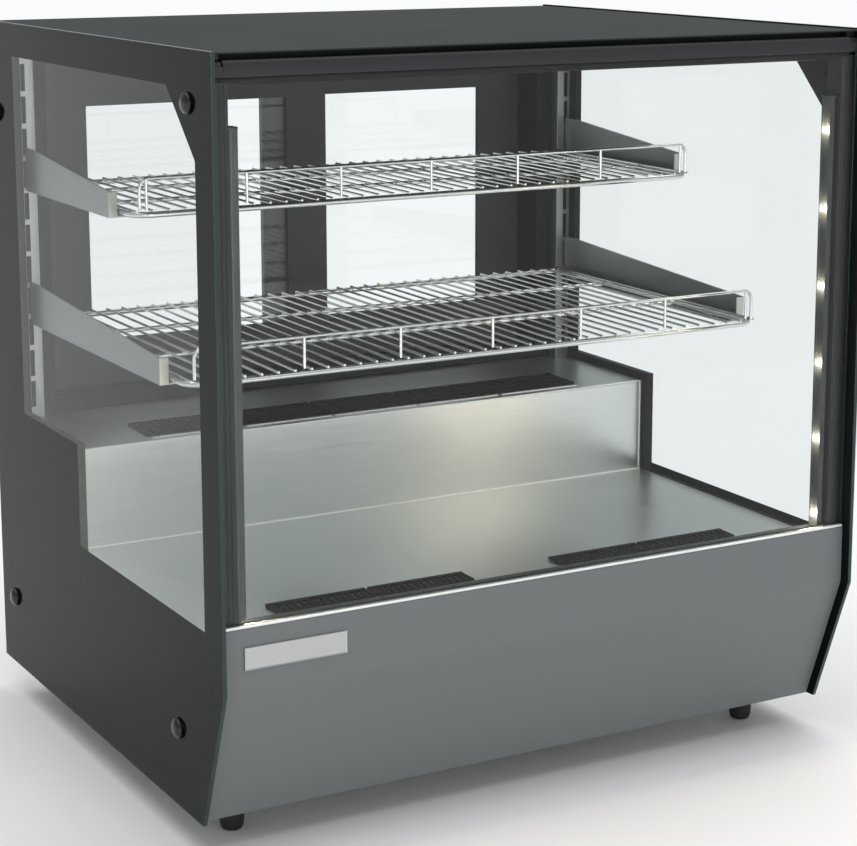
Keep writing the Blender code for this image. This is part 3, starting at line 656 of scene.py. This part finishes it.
# %% [markdown]
# ## Bent sheet: the front panel and the deck
#
# Folded sheet starts as a line of points in side view. The line is swept across the case, its folds are
# rounded by bevelling the fold edges, and only then does it get its thickness. That order matters: the
# bend keeps one radius inside and a larger one outside, as a press brake leaves it.

# %% Bent sheet helper
def block(bm, low, high):
    """A cuboid between two corners; gives its vertices."""
    low, high = Vector(low), Vector(high)
    size = Matrix.Diagonal((*(high - low), 1.0))
    made = bmesh.ops.create_cube(bm, size=1.0, matrix=Matrix.Translation((low + high) / 2) @ size)
    return made["verts"]


def soft_block(bm, low, high, width):
    """A cuboid with rounded edges."""
    corners = block(bm, low, high)
    round_over(bm, list(dict.fromkeys(edge for v in corners for edge in v.link_edges)), width)


def apply_modifiers(piece):
    """Keep the evaluated mesh and drop the modifiers."""
    graph = bpy.context.evaluated_depsgraph_get()
    mesh = bpy.data.meshes.new_from_object(piece.evaluated_get(graph))
    piece.modifiers.clear()
    piece.data = mesh
    return piece


def punch(piece, boxes):
    """Cut boxes out of a closed piece."""
    bm = bmesh.new()
    for low, high in boxes:
        block(bm, low, high)
    mesh = bpy.data.meshes.new("punch")
    bm.to_mesh(mesh)
    bm.free()
    tool = bpy.data.objects.new("punch", mesh)
    scene.collection.objects.link(tool)
    cut = piece.modifiers.new("punch", "BOOLEAN")
    cut.object = tool
    cut.operation = "DIFFERENCE"
    bpy.context.view_layer.update()
    apply_modifiers(piece)
    bpy.data.objects.remove(tool)
    return piece


def bent_sheet(name, mat, profile, half, thick, bend, outward=1.0):
    """A folded sheet from a (y, z) line; outward says which side the thickness grows to."""
    bm = bmesh.new()
    line = [bm.verts.new((-half, y, z)) for y, z in profile]
    edges = [bm.edges.new(ends) for ends in zip(line, line[1:])]
    swept = bmesh.ops.extrude_edge_only(bm, edges=edges)
    moved = [v for v in swept["geom"] if isinstance(v, bmesh.types.BMVert)]
    bmesh.ops.translate(bm, verts=moved, vec=(2 * half, 0, 0))
    folds = [e for e in bm.edges if len(e.link_faces) == 2]
    bmesh.ops.bevel(bm, geom=folds, offset=bend, affect="EDGES", segments=5, profile=0.5, material=-1)
    piece = settle(bm, name, mat, even=False)
    wall = piece.modifiers.new("wall", "SOLIDIFY")
    wall.thickness = thick
    wall.offset = outward
    wall.use_even_offset = True
    bpy.context.view_layer.update()
    return apply_modifiers(piece)


print("sheet helpers ready")

# %% Front panel
panel_low, panel_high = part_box("front_panel")
KINK_HEIGHT = 0.171
TOE_DEPTH = -0.240
panel_line = [
    (panel_low.y + 0.009, panel_high.z), (panel_low.y, panel_high.z), (panel_low.y, KINK_HEIGHT),
    (TOE_DEPTH, panel_low.z), (TOE_DEPTH + 0.016, panel_low.z),
]
panel = bent_sheet("front_panel_sheet", front_coat, panel_line, panel_high.x, 0.0015, 0.0016, -1.0)
even_light(panel)
dress(panel, "case", "panel_paint", "front_panel")
print("front panel", len(panel.data.polygons), "faces, top at", round(panel_high.z, 4))

# %% [markdown]
# A narrow near-white bead closes the panel's top fold under the glass. Its colour is a painted highlight:
# it stands for the bright line of light along that fold, which runs the whole width of the case. It is one
# long block with its edges rounded over.

# %% Bead under the glass
bm = bmesh.new()
BEAD_HALF = 0.3440
block(
    bm, (-BEAD_HALF, panel_low.y - 0.0004, panel_high.z - 0.0001),
    (BEAD_HALF, panel_low.y + 0.0052, panel_high.z + 0.0023),
)
round_over(bm, bm.edges[:], 0.0007, 3)
# The bead's near-white colour is a painted highlight along the panel's top fold.
bead = dress(settle(bm, "painted_highlight_bead", painted_highlight), "case", "badge_metal")
print("bead", [round(v, 4) for v in bead.dimensions])

# %% [markdown]
# ## The stepped deck
#
# The deck is one stainless sheet: a low front part for trays, a step, and a higher rear part with the
# air outlet. Openings are punched after bending. Each long narrow slot in front of the outlet gets a thin
# near-white lip, a painted highlight for the light that the slot's folded lip catches. Thin near-white
# rods along the step's four edges are painted highlights for the light on its folds, bright lines against
# the grey sheet.

# %% Deck
STEP_DEPTH = 0.066
SHEET = 0.0012
deck_line = [
    (deck_low.y, deck_height - 0.012), (deck_low.y, deck_height), (STEP_DEPTH, deck_height),
    (STEP_DEPTH, step_height), (deck_high.y, step_height),
]
deck = bent_sheet("deck_sheet", deck_steel, deck_line, deck_high.x, SHEET, 0.0024, -1.0)
openings = []
for side in ("left", "right"):
    low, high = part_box("front_grille_" + side)
    inset = Vector((0.004, 0.004, 0.02))
    openings.append((low + inset - Vector((0, 0, 0.04)), high - inset + Vector((0, 0, 0.04))))
rear_low, rear_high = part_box("rear_grille")
openings.append((
    (rear_low.x + 0.004, rear_low.y + 0.004, step_height - 0.02),
    (rear_high.x - 0.004, rear_high.y - 0.004, step_height + 0.02),
))
SLOT_PITCH, SLOT_HALF = 0.1036, 0.0495
SLOT_FRONT, SLOT_BACK = 0.0765, 0.0805
slot_middles = [(i - 2) * SLOT_PITCH for i in range(5)]
for x in slot_middles:
    openings.append((
        (x - SLOT_HALF, SLOT_FRONT, step_height - 0.02), (x + SLOT_HALF, SLOT_BACK, step_height + 0.02)
    ))
even_light(punch(deck, openings))
dress(deck, "case", "deck_steel", "deck")

# Near-white lips in the slots: painted highlights for the light on the slots' folded lips.
bm = bmesh.new()
for x in slot_middles:
    block(
        bm, (x - SLOT_HALF, SLOT_FRONT + 0.0004, step_height - 0.001),
        (x + SLOT_HALF, SLOT_BACK - 0.0004, step_height + 0.0009),
    )
round_over(bm, sharp_edges(bm), 0.0008, 3)
dress(settle(bm, "air_slot_highlights", painted_highlight), "case", "deck_steel")

# Near-white rods along the step's four edges: painted highlights for the light on its folds.
EDGE = 0.0007
bm = bmesh.new()
for y, z in ((STEP_DEPTH - EDGE, deck_height + EDGE), (STEP_DEPTH - EDGE * 0.4, step_height - EDGE * 0.6)):
    bmesh.ops.create_cone(
        bm, cap_ends=True, segments=10, radius1=EDGE, radius2=EDGE, depth=2 * deck_high.x - 0.004,
        matrix=Matrix.Translation((0, y, z)) @ Matrix.Rotation(pi / 2, 4, "Y"),
    )
for side in (-1, 1):
    middle = (side * (deck_high.x - 0.0028), STEP_DEPTH - EDGE, (deck_height + step_height) / 2)
    bmesh.ops.create_cone(
        bm, cap_ends=True, segments=10, radius1=EDGE, radius2=EDGE, depth=STEP_FALL - 0.003,
        matrix=Matrix.Translation(middle),
    )
dress(settle(bm, "step_fold_highlights", painted_highlight, even=False), "case", "deck_steel")
print("deck", len(deck.data.polygons), "faces,", len(openings), "openings")

# %% [markdown]
# ## Prisms: posts, sill and light bars
#
# Extrusions are drawn as a cross-section and pulled along their length. The posts are a black gasket
# profile with soft ribs, so their outline is a row of small bumps. The light bars are a channel with a
# rounded back. One helper pulls any outline along any axis.

# %% Prism helper
def prism(bm, outline, axis, low, high):
    """Pull a closed outline along axis 0, 1 or 2; its points fill the other two axes in order."""
    verts = []
    for a, b in outline:
        point = [a, b]
        point.insert(axis, low)
        verts.append(bm.verts.new(point))
    face = bm.faces.new(verts)
    pulled = bmesh.ops.extrude_face_region(bm, geom=[face])
    moved = [v for v in pulled["geom"] if isinstance(v, bmesh.types.BMVert)]
    shift = Vector((0, 0, 0))
    shift[axis] = high - low
    bmesh.ops.translate(bm, verts=moved, vec=shift)


def arc(centre, radius, start, end, steps=6):
    """Points along an arc, angles in degrees."""
    turns = [radians(start + (end - start) * i / steps) for i in range(steps + 1)]
    return [(centre[0] + radius * cos(t), centre[1] + radius * sin(t)) for t in turns]


print("prism helper ready")

# %% Front posts
RIB = 0.0021


def post_outline(side, low, high):
    """The post seen from above: flat sides and back, four soft ribs on the front."""
    inner, outer = sorted((abs(low.x), abs(high.x)))
    outline = [(inner, high.y), (inner, low.y + RIB)]
    for i in range(4):
        x = inner + (outer - inner) * (i + 0.5) / 4
        outline += arc((x, low.y + RIB * 0.45), RIB * 0.95, 190, 350, 5)
    outline += [(outer, low.y + RIB), (outer, high.y)]
    front_line = low.y + 0.0002
    return [(side * x, max(y, front_line)) for x, y in outline]


for side, word in SIDES:
    low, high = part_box("front_post_" + word)
    bm = bmesh.new()
    prism(bm, post_outline(side, low, high), 2, low.z, high.z)
    post = settle(bm, "front_post_profile_" + word, black_satin)
    dress(post, "case", "black_frame", "front_post_" + word)
print("post", [round(v, 4) for v in post.dimensions])

# %% Sill
low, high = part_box("deck_front_sill")
SILL_NOSE = 0.004
sill_outline = [(low.y, low.z), (low.y, high.z)]
sill_outline += arc((high.y - SILL_NOSE, high.z - SILL_NOSE), SILL_NOSE, 90, 0, 5) + [(high.y, low.z)]
bm = bmesh.new()
prism(bm, sill_outline, 0, low.x, high.x)
dress(settle(bm, "sill_profile", black_satin), "case", "black_plastic", "deck_front_sill")
print("sill", round(high.x - low.x, 4), "m long")

# %% [markdown]
# ## Light bars
#
# Each bar is a dark aluminium channel with a rounded back, and a shallow well in its inner face holds six
# warm lamps. Each lamp is a small glowing dome with a weak warm lamp just in front of it, so the warm
# patches on the steel come from light and not from paint. A glowing dome alone is too small to light the
# deck without a lot of noise. The weak lamps are hidden, also through the glass, or they show as dots.

# %% Light bars
LAMP_TOP = 0.634
LAMP_PITCH = 0.0784
LAMP_COUNT = 6
LAMP_RADIUS = 0.0026
LAMP_POWER = 0.17
BACK_RADIUS, LIP, WELL = 0.0040, 0.0016, 0.0030


def light_bar(side, word):
    """A channel with end caps, its row of domes and the weak lamps in front of them."""
    low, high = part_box("led_bar_" + word)
    inner, outer = sorted((abs(low.x), abs(high.x)))
    middle = (low.y + high.y) / 2
    reach = (high.y - low.y) / 2
    outline = [(inner + LIP, low.y), (outer - BACK_RADIUS, low.y)]
    outline += arc((outer - BACK_RADIUS, low.y + BACK_RADIUS), BACK_RADIUS, -90, 0, 5)
    outline += arc((outer - BACK_RADIUS, high.y - BACK_RADIUS), BACK_RADIUS, 0, 90, 5)
    outline += [(inner + LIP, high.y), (inner + LIP, middle + reach * 0.62)]
    outline += [(inner + WELL, middle + reach * 0.55), (inner + WELL, middle - reach * 0.55)]
    outline += [(inner + LIP, middle - reach * 0.62)]
    bm = bmesh.new()
    prism(bm, [(side * x, y) for x, y in outline], 2, low.z + 0.0015, high.z - 0.0015)
    for z in (low.z, high.z - 0.0024):
        near, far = sorted((side * (inner + 0.0010), side * outer))
        soft_block(bm, (near, low.y, z), (far, high.y, z + 0.0024), 0.0006)
    bar = dress(settle(bm, "light_bar_" + word, bar_metal), "case", "lamp_cover", "led_bar_" + word)
    bm = bmesh.new()
    heights = [LAMP_TOP - i * LAMP_PITCH for i in range(LAMP_COUNT)]
    for z in heights:
        place = Matrix.Translation((side * (inner + LIP), middle, z))
        bmesh.ops.create_uvsphere(
            bm, u_segments=20, v_segments=10, radius=LAMP_RADIUS,
            matrix=place @ Matrix.Diagonal((0.62, 1.0, 1.0, 1.0)),
        )
    dress(settle(bm, "lamps_" + word, warm_lens), "case", "lamp_cover")
    for z in heights:
        glow = bpy.data.lights.new("bar_lamp", "POINT")
        glow.energy = LAMP_POWER
        glow.color = (1.0, 0.83, 0.64)
        glow.shadow_soft_size = 0.0025
        spot = bpy.data.objects.new("bar_lamp", glow)
        spot.location = (side * (inner - 0.0040), middle, z)
        spot.visible_camera = False
        spot.visible_transmission = False
        scene.collection.objects.link(spot)
    return bar


for side, word in SIDES:
    bar = light_bar(side, word)
print("bar", [round(v, 4) for v in bar.dimensions], LAMP_COUNT, "lamps each")

# %% [markdown]
# ## Air grilles
#
# The grilles are moulded black cassettes that drop into the deck. Each has a rim, a wider lip along one
# side and a row of upright fins with gaps between them. A fin is only a block with two rounded edges: it
# repeats about two hundred times, so it has few faces.

# %% Grilles
FIN_DROP = 0.0060


def fins(bm, low, high, modules, per_module, gap=0.0030, rim=0.0026):
    """Rims round each module and a row of fins inside it."""
    length = (high.x - low.x) / modules
    for m in range(modules):
        x0 = low.x + m * length + (gap / 2 if m else 0)
        x1 = low.x + (m + 1) * length - (gap / 2 if m < modules - 1 else 0)
        bars = [
            ((x0, low.y, low.z), (x1, low.y + rim, high.z - 0.0006)),
            ((x0, high.y - 2.2 * rim, low.z), (x1, high.y, high.z)),
            ((x0, low.y + rim, low.z), (x0 + rim, high.y - 2.2 * rim, high.z - 0.0003)),
            ((x1 - rim, low.y + rim, low.z), (x1, high.y - 2.2 * rim, high.z - 0.0003)),
        ]
        for near, far in bars:
            soft_block(bm, near, far, 0.0004)
        pitch = (x1 - x0 - 2 * rim) / per_module
        for i in range(per_module):
            x = x0 + rim + (i + 0.5) * pitch
            block(
                bm, (x - pitch * 0.24, low.y + rim, low.z - FIN_DROP),
                (x + pitch * 0.24, high.y - 2.2 * rim, high.z - 0.0009),
            )
        middle = (low.y + high.y - 1.2 * rim) / 2
        block(bm, (x0 + rim, middle - 0.0012, low.z - FIN_DROP), (x1 - rim, middle + 0.0012, high.z - 0.0014))


for word in ("left", "right"):
    low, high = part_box("front_grille_" + word)
    bm = bmesh.new()
    fins(bm, low, high, 2, 14)
    piece = settle(bm, "front_air_grille_" + word, moulded_black)
    dress(piece, "case", "black_plastic", "front_grille_" + word)
bm = bmesh.new()
fins(bm, rear_low, rear_high, 5, 14)
grille = dress(settle(bm, "rear_air_grille", moulded_black), "case", "black_plastic", "rear_grille")
print("rear grille", len(grille.data.polygons), "faces")

# %% [markdown]
# ## Round wire: shelves and fences
#
# The shelves are welded from round wire: a thick rim, two cross wires under the grid and a row of thin
# wires on top. Flat-sided bars give dull stripes, while round wire gives each bar one thin bright line,
# and that line is what makes a wire shelf look like metal. A bent wire is a ring of points carried along
# a path. Straight wires repeat often, so they are plain ten-sided cylinders with capped ends.

# %% Wire helpers
def tube(bm, path, radius, sides=12, closed=False):
    """A round wire along a path, capped at its ends unless it is closed."""
    points = [Vector(p) for p in path]
    count = len(points)
    sideways = None
    rings = []
    for i, point in enumerate(points):
        before = points[i - 1] if i or closed else point
        after = points[(i + 1) % count] if i < count - 1 or closed else point
        along = (after - before).normalized()
        if sideways is None:
            sideways = along.orthogonal()
        sideways = (sideways - along * sideways.dot(along)).normalized()
        upward = along.cross(sideways)
        turns = [2 * pi * k / sides for k in range(sides)]
        rings.append([bm.verts.new(point + radius * (cos(t) * sideways + sin(t) * upward)) for t in turns])
    joints = list(zip(rings, rings[1:])) + ([(rings[-1], rings[0])] if closed else [])
    for first, second in joints:
        for k in range(sides):
            n = (k + 1) % sides
            bm.faces.new((first[k], first[n], second[n], second[k]))
    if not closed:
        bm.faces.new(list(reversed(rings[0])))
        bm.faces.new(rings[-1])


def straight(bm, start, end, radius, sides=10):
    """A straight round bar between two points."""
    start, end = Vector(start), Vector(end)
    turn = (end - start).to_track_quat("Z", "Y").to_matrix().to_4x4()
    bmesh.ops.create_cone(
        bm, cap_ends=True, segments=sides, radius1=radius, radius2=radius, depth=(end - start).length,
        matrix=Matrix.Translation((start + end) / 2) @ turn,
    )


print("wire helpers ready")

# %% Wire shelves
RIM_WIRE = 0.0030
THIN_WIRE = 0.00127
THIN_LIFT = 0.0037
CROSS_WIRE = 0.0022
WIRE_COUNT, WIRE_PITCH = 38, 0.0171
BED_WIRE = 0.0016
UPRIGHTS, UPRIGHT_PITCH = 7, 0.102
FRONT_BEND, BACK_BEND, FENCE_BEND = 0.020, 0.008, 0.010


def wire_shelf(level):
    """A welded grid: a thick rim, thin wires on top and two cross wires."""
    low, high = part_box(level + "_shelf")
    front, back, z = low.y + RIM_WIRE, high.y - RIM_WIRE, low.z + RIM_WIRE
    half = high.x - RIM_WIRE
    rim = arc((half - FRONT_BEND, front + FRONT_BEND), FRONT_BEND, -90, 0, 8)
    rim += arc((half - BACK_BEND, back - BACK_BEND), BACK_BEND, 0, 90, 6)
    rim += arc((-half + BACK_BEND, back - BACK_BEND), BACK_BEND, 90, 180, 6)
    rim += arc((-half + FRONT_BEND, front + FRONT_BEND), FRONT_BEND, 180, 270, 8)
    bm = bmesh.new()
    tube(bm, [(x, y, z) for x, y in rim], RIM_WIRE, 16, closed=True)
    for i in range(WIRE_COUNT):
        x = (i - (WIRE_COUNT - 1) / 2) * WIRE_PITCH
        straight(bm, (x, front - 0.0010, z + THIN_LIFT), (x, back + 0.0010, z + THIN_LIFT), THIN_WIRE)
    for part in (0.36, 0.72):
        y = front + (back - front) * part
        straight(bm, (-half, y, z + 0.0004), (half, y, z + 0.0004), CROSS_WIRE, 12)
    piece = settle(bm, level + "_wire_shelf", wire_chrome, even=False)
    return dress(piece, level + "_shelf_set", "shelf_chrome", level + "_shelf")


def wire_fence(level):
    """One bent wire along the shelf's front edge and its uprights."""
    low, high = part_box(level + "_shelf_fence")
    y = (low.y + high.y) / 2
    half, foot, top = high.x - BED_WIRE, low.z, high.z - BED_WIRE
    path = [(-half, foot)] + arc((-half + FENCE_BEND, top - FENCE_BEND), FENCE_BEND, 180, 90, 8)
    path += arc((half - FENCE_BEND, top - FENCE_BEND), FENCE_BEND, 90, 0, 8) + [(half, foot)]
    bm = bmesh.new()
    tube(bm, [(x, y, z) for x, z in path], BED_WIRE, 12)
    for i in range(UPRIGHTS):
        x = (i - (UPRIGHTS - 1) / 2) * UPRIGHT_PITCH
        straight(bm, (x, y, foot), (x, y, top), BED_WIRE * 0.92)
    piece = settle(bm, level + "_wire_fence", wire_chrome, even=False)
    return dress(piece, level + "_shelf_set", "shelf_chrome", level + "_shelf_fence")


for level in ("upper", "lower"):
    grid = wire_shelf(level)
    guard = wire_fence(level)
    print(level, "shelf", len(grid.data.polygons), "faces, fence", len(guard.data.polygons))

# %% [markdown]
# ## Turned pieces: bolts, feet, knob and gland
#
# Anything round about an axis is a half outline spun about it. The outline carries the small radii, so
# no bevel is needed afterwards. A knob and a gland also need a grip: their outer points are pushed in and
# out in waves as they go round, which costs no extra faces.

# %% Turning helper
def turned(bm, profile, centre, axis, steps=32, waves=0, depth=0.0):
    """Spin an (r, h) outline about an axis; waves push the outermost points inward."""
    known = set(bm.verts)
    line = [bm.verts.new((r, 0, h)) for r, h in profile]
    edges = [bm.edges.new(ends) for ends in zip(line, line[1:])]
    bmesh.ops.spin(
        bm, geom=line + edges, cent=(0, 0, 0), axis=(0, 0, 1), angle=2 * pi, steps=steps, use_merge=True
    )
    fresh = [v for v in bm.verts if v not in known]
    bmesh.ops.remove_doubles(bm, verts=fresh, dist=0.000001)
    fresh = [v for v in bm.verts if v not in known]
    widest = max(r for r, _ in profile)
    for v in fresh:
        radius = (v.co.x ** 2 + v.co.y ** 2) ** 0.5
        if waves and radius > widest * 0.9:
            around = Vector((1, 0)).angle_signed(v.co.xy, 0)
            v.co.xy *= 1 - depth * (0.5 + 0.5 * cos(waves * around))
    turn = Vector(axis).to_track_quat("Z", "Y").to_matrix().to_4x4()
    bmesh.ops.transform(bm, matrix=Matrix.Translation(centre) @ turn, verts=fresh)


print("turning helper ready")

# %% Cap bolts on the side panes
HEAD, SHANK_RADIUS, SHANK = 0.0058, 0.0030, 0.0090
for row in ("top_front", "top_rear", "bottom_front", "bottom_rear"):
    for side, word in SIDES:
        node = "bolt_" + row + "_" + word
        low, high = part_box(node)
        seat = max(abs(low.x), abs(high.x)) - HEAD
        reach = (high.y - low.y) / 2
        middle = (low + high) / 2
        cap = [(0.0, HEAD)]
        for turn in (radians(20), radians(42), radians(62), radians(80)):
            cap.append((reach * 0.80 * sin(turn), 0.0032 + 0.0026 * cos(turn)))
        cap += [(reach * 0.90, 0.0031), (reach * 0.97, 0.0022), (reach, 0.0012)]
        cap += [(reach * 0.985, 0.0003), (reach * 0.9, 0.0)]
        cap += [(SHANK_RADIUS, 0.0), (SHANK_RADIUS, -SHANK), (0.0, -SHANK)]
        bm = bmesh.new()
        turned(bm, cap, (side * seat, middle.y, middle.z), (side, 0, 0), 40)
        dress(settle(bm, node + "_cap", bolt_gloss, even=False), "case", slot_of(node), node)

# %% Levelling feet
FOOT_OUTLINE = [
    (0.0, 0.0470), (0.0034, 0.0470), (0.0040, 0.0464), (0.0040, 0.0356), (0.0108, 0.0356),
    (0.0116, 0.0350), (0.0120, 0.0340), (0.0120, 0.0300), (0.0113, 0.0294), (0.0113, 0.0284),
    (0.0119, 0.0278), (0.0119, 0.0125), (0.0114, 0.0060), (0.0106, 0.0026), (0.0094, 0.0007),
    (0.0082, 0.0), (0.0, 0.0),
]
for row in ("front", "rear"):
    for word in ("left", "right"):
        node = "foot_" + row + "_" + word
        low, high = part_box(node)
        bm = bmesh.new()
        turned(bm, FOOT_OUTLINE, ((low.x + high.x) / 2, (low.y + high.y) / 2, 0), (0, 0, 1), 36)
        dress(settle(bm, node + "_turned", foot_rubber, even=False), body_of(node), slot_of(node), node)

# %% [markdown]
# ## The clamp, its hinges and the badge plate
#
# The clamp is an extrusion with a slot for the glass and a bevel along its top front edge. Its front wall
# runs on past both ends as a thin shroud, so the hinges are hidden when the glass is shut. The shroud
# stops below the clamp's top. A taller one would meet the hinge foot when the glass is lifted.
#
# The badge plate is left blank. Its rim stands proud of the field, made by insetting the front face and
# pushing it back.

# %% Clamp and hinge blocks
low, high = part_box("front_glass_clamp")
glass_low, glass_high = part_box("front_glass")
pane_front, pane_back = glass_low.y - 0.0003, glass_high.y + 0.0003
clamp_outline = [
    (low.y, low.z), (low.y, high.z - 0.0042), (low.y + 0.0026, high.z - 0.0006), (low.y + 0.0040, high.z),
    (high.y - 0.0015, high.z), (high.y, high.z - 0.0015), (high.y, low.z),
    (pane_back, low.z), (pane_back, low.z + 0.0040), (pane_front, low.z + 0.0040), (pane_front, low.z),
]
SHROUD_HALF, SHROUD_TOP, SHROUD_WALL = 0.3447, 0.7205, 0.0012
bm = bmesh.new()
prism(bm, clamp_outline, 0, low.x, high.x)
for side in (-1, 1):
    ends = sorted((side * (high.x + 0.0001), side * SHROUD_HALF))
    block(bm, (ends[0], low.y, low.z), (ends[1], low.y + SHROUD_WALL, SHROUD_TOP))
round_over(bm, sharp_edges(bm, 50), 0.0003, 2)
clamp = dress(settle(bm, "clamp_extrusion", clamp_coat), "front_window", "dark_clamp", "front_glass_clamp")
for word in ("left", "right"):
    rounded("hinge_block_" + word, clamp_coat, 0.0004)
print("clamp", [round(v, 4) for v in clamp.dimensions])

# %% Badge plate
low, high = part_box("badge_plate")
bm = bmesh.new()
block(bm, low, high)
front = min(bm.faces, key=lambda f: f.calc_center_median().y)
bmesh.ops.inset_region(bm, faces=[front], thickness=0.0014)
bmesh.ops.translate(bm, verts=front.verts[:], vec=(0, 0.0005, 0))
round_over(bm, sharp_edges(bm, 20), 0.00018, 2)
badge = dress(settle(bm, "badge_blank", badge_metal), "case", "badge_metal", "badge_plate")
print("badge", [round(v, 4) for v in badge.dimensions])

# %% [markdown]
# ## Controls on the rear panel
#
# The thermostat knob turns about its spindle and the two rockers tip about theirs, so each rides on its
# own body, and the knob's pointer rides with the knob. The scale round the knob stays on the plate. It has
# ticks and no figures. Each rocker sits in a plain bezel of four bars.

# %% Thermostat knob and its scale
plate_low, plate_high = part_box("control_plate")
low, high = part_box("thermostat_knob")
knob_x, knob_z, knob_base = (low.x + high.x) / 2, (low.z + high.z) / 2, plate_high.y + 0.0010
knob_top = high.y
tall = knob_top - knob_base
grip = (high.x - low.x) / 2
outline = [
    (0.0, tall - 0.0012), (grip * 0.70, tall - 0.0012), (grip * 0.78, tall - 0.0006),
    (grip * 0.86, tall - 0.0010), (grip * 0.93, tall - 0.0030),
    (grip * 0.96, 0.0080), (grip, 0.0016), (grip * 0.99, 0.0003),
    (grip * 0.90, 0.0), (0.0038, 0.0), (0.0038, -0.0105), (0.0, -0.0105),
]
bm = bmesh.new()
turned(bm, outline, (knob_x, knob_base, knob_z), (0, 1, 0), 96, waves=16, depth=0.045)
dress(settle(bm, "thermostat_grip", moulded_black, even=False), "knob", "black_plastic", "thermostat_knob")
bm = bmesh.new()
block(
    bm, (knob_x - 0.0007, knob_top - 0.0013, knob_z + 0.0035),
    (knob_x + 0.0007, knob_top - 0.0009, knob_z + 0.0102),
)
dress(settle(bm, "thermostat_pointer", marking), "knob", "badge_metal")
TICKS, SWEEP = 11, 270
bm = bmesh.new()
for i in range(TICKS):
    turn = radians(SWEEP * i / (TICKS - 1))
    length = 0.0030 if i % 5 == 0 else 0.0018
    place = Matrix.Translation((knob_x, plate_high.y, knob_z)) @ Matrix.Rotation(turn, 4, "Y")
    tick = block(bm, (-0.00035, -0.0001, grip + 0.0018), (0.00035, 0.00012, grip + 0.0018 + length))
    bmesh.ops.transform(bm, matrix=place, verts=tick)
dress(settle(bm, "thermostat_scale", marking), "case", "badge_metal")
print("knob radius", round(grip, 4), "with", TICKS, "ticks")

# %% Rockers and their bezels
GAP_X, GAP_Z, BEZEL_X, BEZEL_Z = 0.0078, 0.0140, 0.0098, 0.0160
BEZEL_SIDES = [
    ((-BEZEL_X, GAP_Z), (BEZEL_X, BEZEL_Z)), ((-BEZEL_X, -BEZEL_Z), (BEZEL_X, -GAP_Z)),
    ((-BEZEL_X, -GAP_Z), (-GAP_X, GAP_Z)), ((GAP_X, -GAP_Z), (BEZEL_X, GAP_Z)),
]
for node in ("power_switch", "light_switch"):
    low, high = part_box(node)
    x, z = (low.x + high.x) / 2, (low.z + high.z) / 2
    rounded(node, moulded_black, 0.0006)
    bm = bmesh.new()
    for (x0, z0), (x1, z1) in BEZEL_SIDES:
        soft_block(bm, (x + x0, plate_high.y, z + z0), (x + x1, plate_high.y + 0.0010, z + z1), 0.0003)
    dress(settle(bm, node + "_bezel", moulded_black), "case", "black_plastic")
print("rockers dressed")

# %% Cable gland
low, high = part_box("cable_gland")
centre = ((low.x + high.x) / 2, low.y + 0.0100, (low.z + high.z) / 2)
nut = [
    (0.0, 0.0088), (0.0105, 0.0088), (0.0118, 0.0078), (0.0118, 0.0008), (0.0108, 0.0), (0.0078, 0.0),
    (0.0078, -0.0098), (0.0, -0.0098),
]
dome = [
    (0.0, 0.0125), (0.0038, 0.0125), (0.0038, 0.0196), (0.0045, 0.0200), (0.0062, 0.0194), (0.0074, 0.0178),
    (0.0078, 0.0155), (0.0078, 0.0090), (0.0, 0.0090),
]
bm = bmesh.new()
turned(bm, nut, centre, (0, 1, 0), 6)
turned(bm, dome, centre, (0, 1, 0), 48, waves=12, depth=0.05)
dress(settle(bm, "cable_gland_nut", moulded_black), "case", "black_plastic", "cable_gland")
print("gland ready")

# %% [markdown]
# ## The warm air unit
#
# The fan and the heater stand under the step and show only through the vents and slots. They keep the
# shapes of their nodes with small radii, which is enough at the distance that they are seen from.

# %% Fan and heater
rounded("fan_housing", moulded_black, 0.0004)
rounded("fan_impeller", moulded_black, 0.0002)
heater = settle(merged("heater_element"), "heater_sheath", heater_tube, sharp=60, even=False)
dress(heater, "case", "heater_steel", "heater_element")
print("heater", len(heater.data.polygons), "faces")

# %% [markdown]
# ## Screws
#
# Low pan-head screws hold the rear panel and the control plate. A cross recess would need a Boolean cut
# on each of them, so a small dark cross sits in a shallow dish, which looks the same from a step away.

# %% Screws on the back
low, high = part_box("rear_panel")
spots = []
for x in (low.x + 0.012, 0.0, high.x - 0.012):
    spots += [(x, high.y, low.z + 0.012), (x, high.y, high.z - 0.010)]
for x in (plate_low.x + 0.006, plate_high.x - 0.006):
    spots += [(x, plate_high.y, plate_low.z + 0.006), (x, plate_high.y, plate_high.z - 0.006)]
head = [
    (0.0, 0.0011), (0.0012, 0.0012), (0.0022, 0.0016), (0.0028, 0.0015), (0.0034, 0.0010),
    (0.0036, 0.0002), (0.0034, 0.0), (0.0, 0.0),
]
bm = bmesh.new()
cross = bmesh.new()
for spot in spots:
    turned(bm, head, spot, (0, 1, 0), 20)
    x, y, z = spot
    block(cross, (x - 0.0015, y + 0.0010, z - 0.0003), (x + 0.0015, y + 0.00135, z + 0.0003))
    block(cross, (x - 0.0003, y + 0.0010, z - 0.0015), (x + 0.0003, y + 0.00140, z + 0.0015))
dress(settle(bm, "rear_screws", zinc_steel, even=False), "case", "zinc_steel")
dress(settle(cross, "rear_screw_recesses", black_satin), "case", "black_plastic")
print(len(spots), "screws")
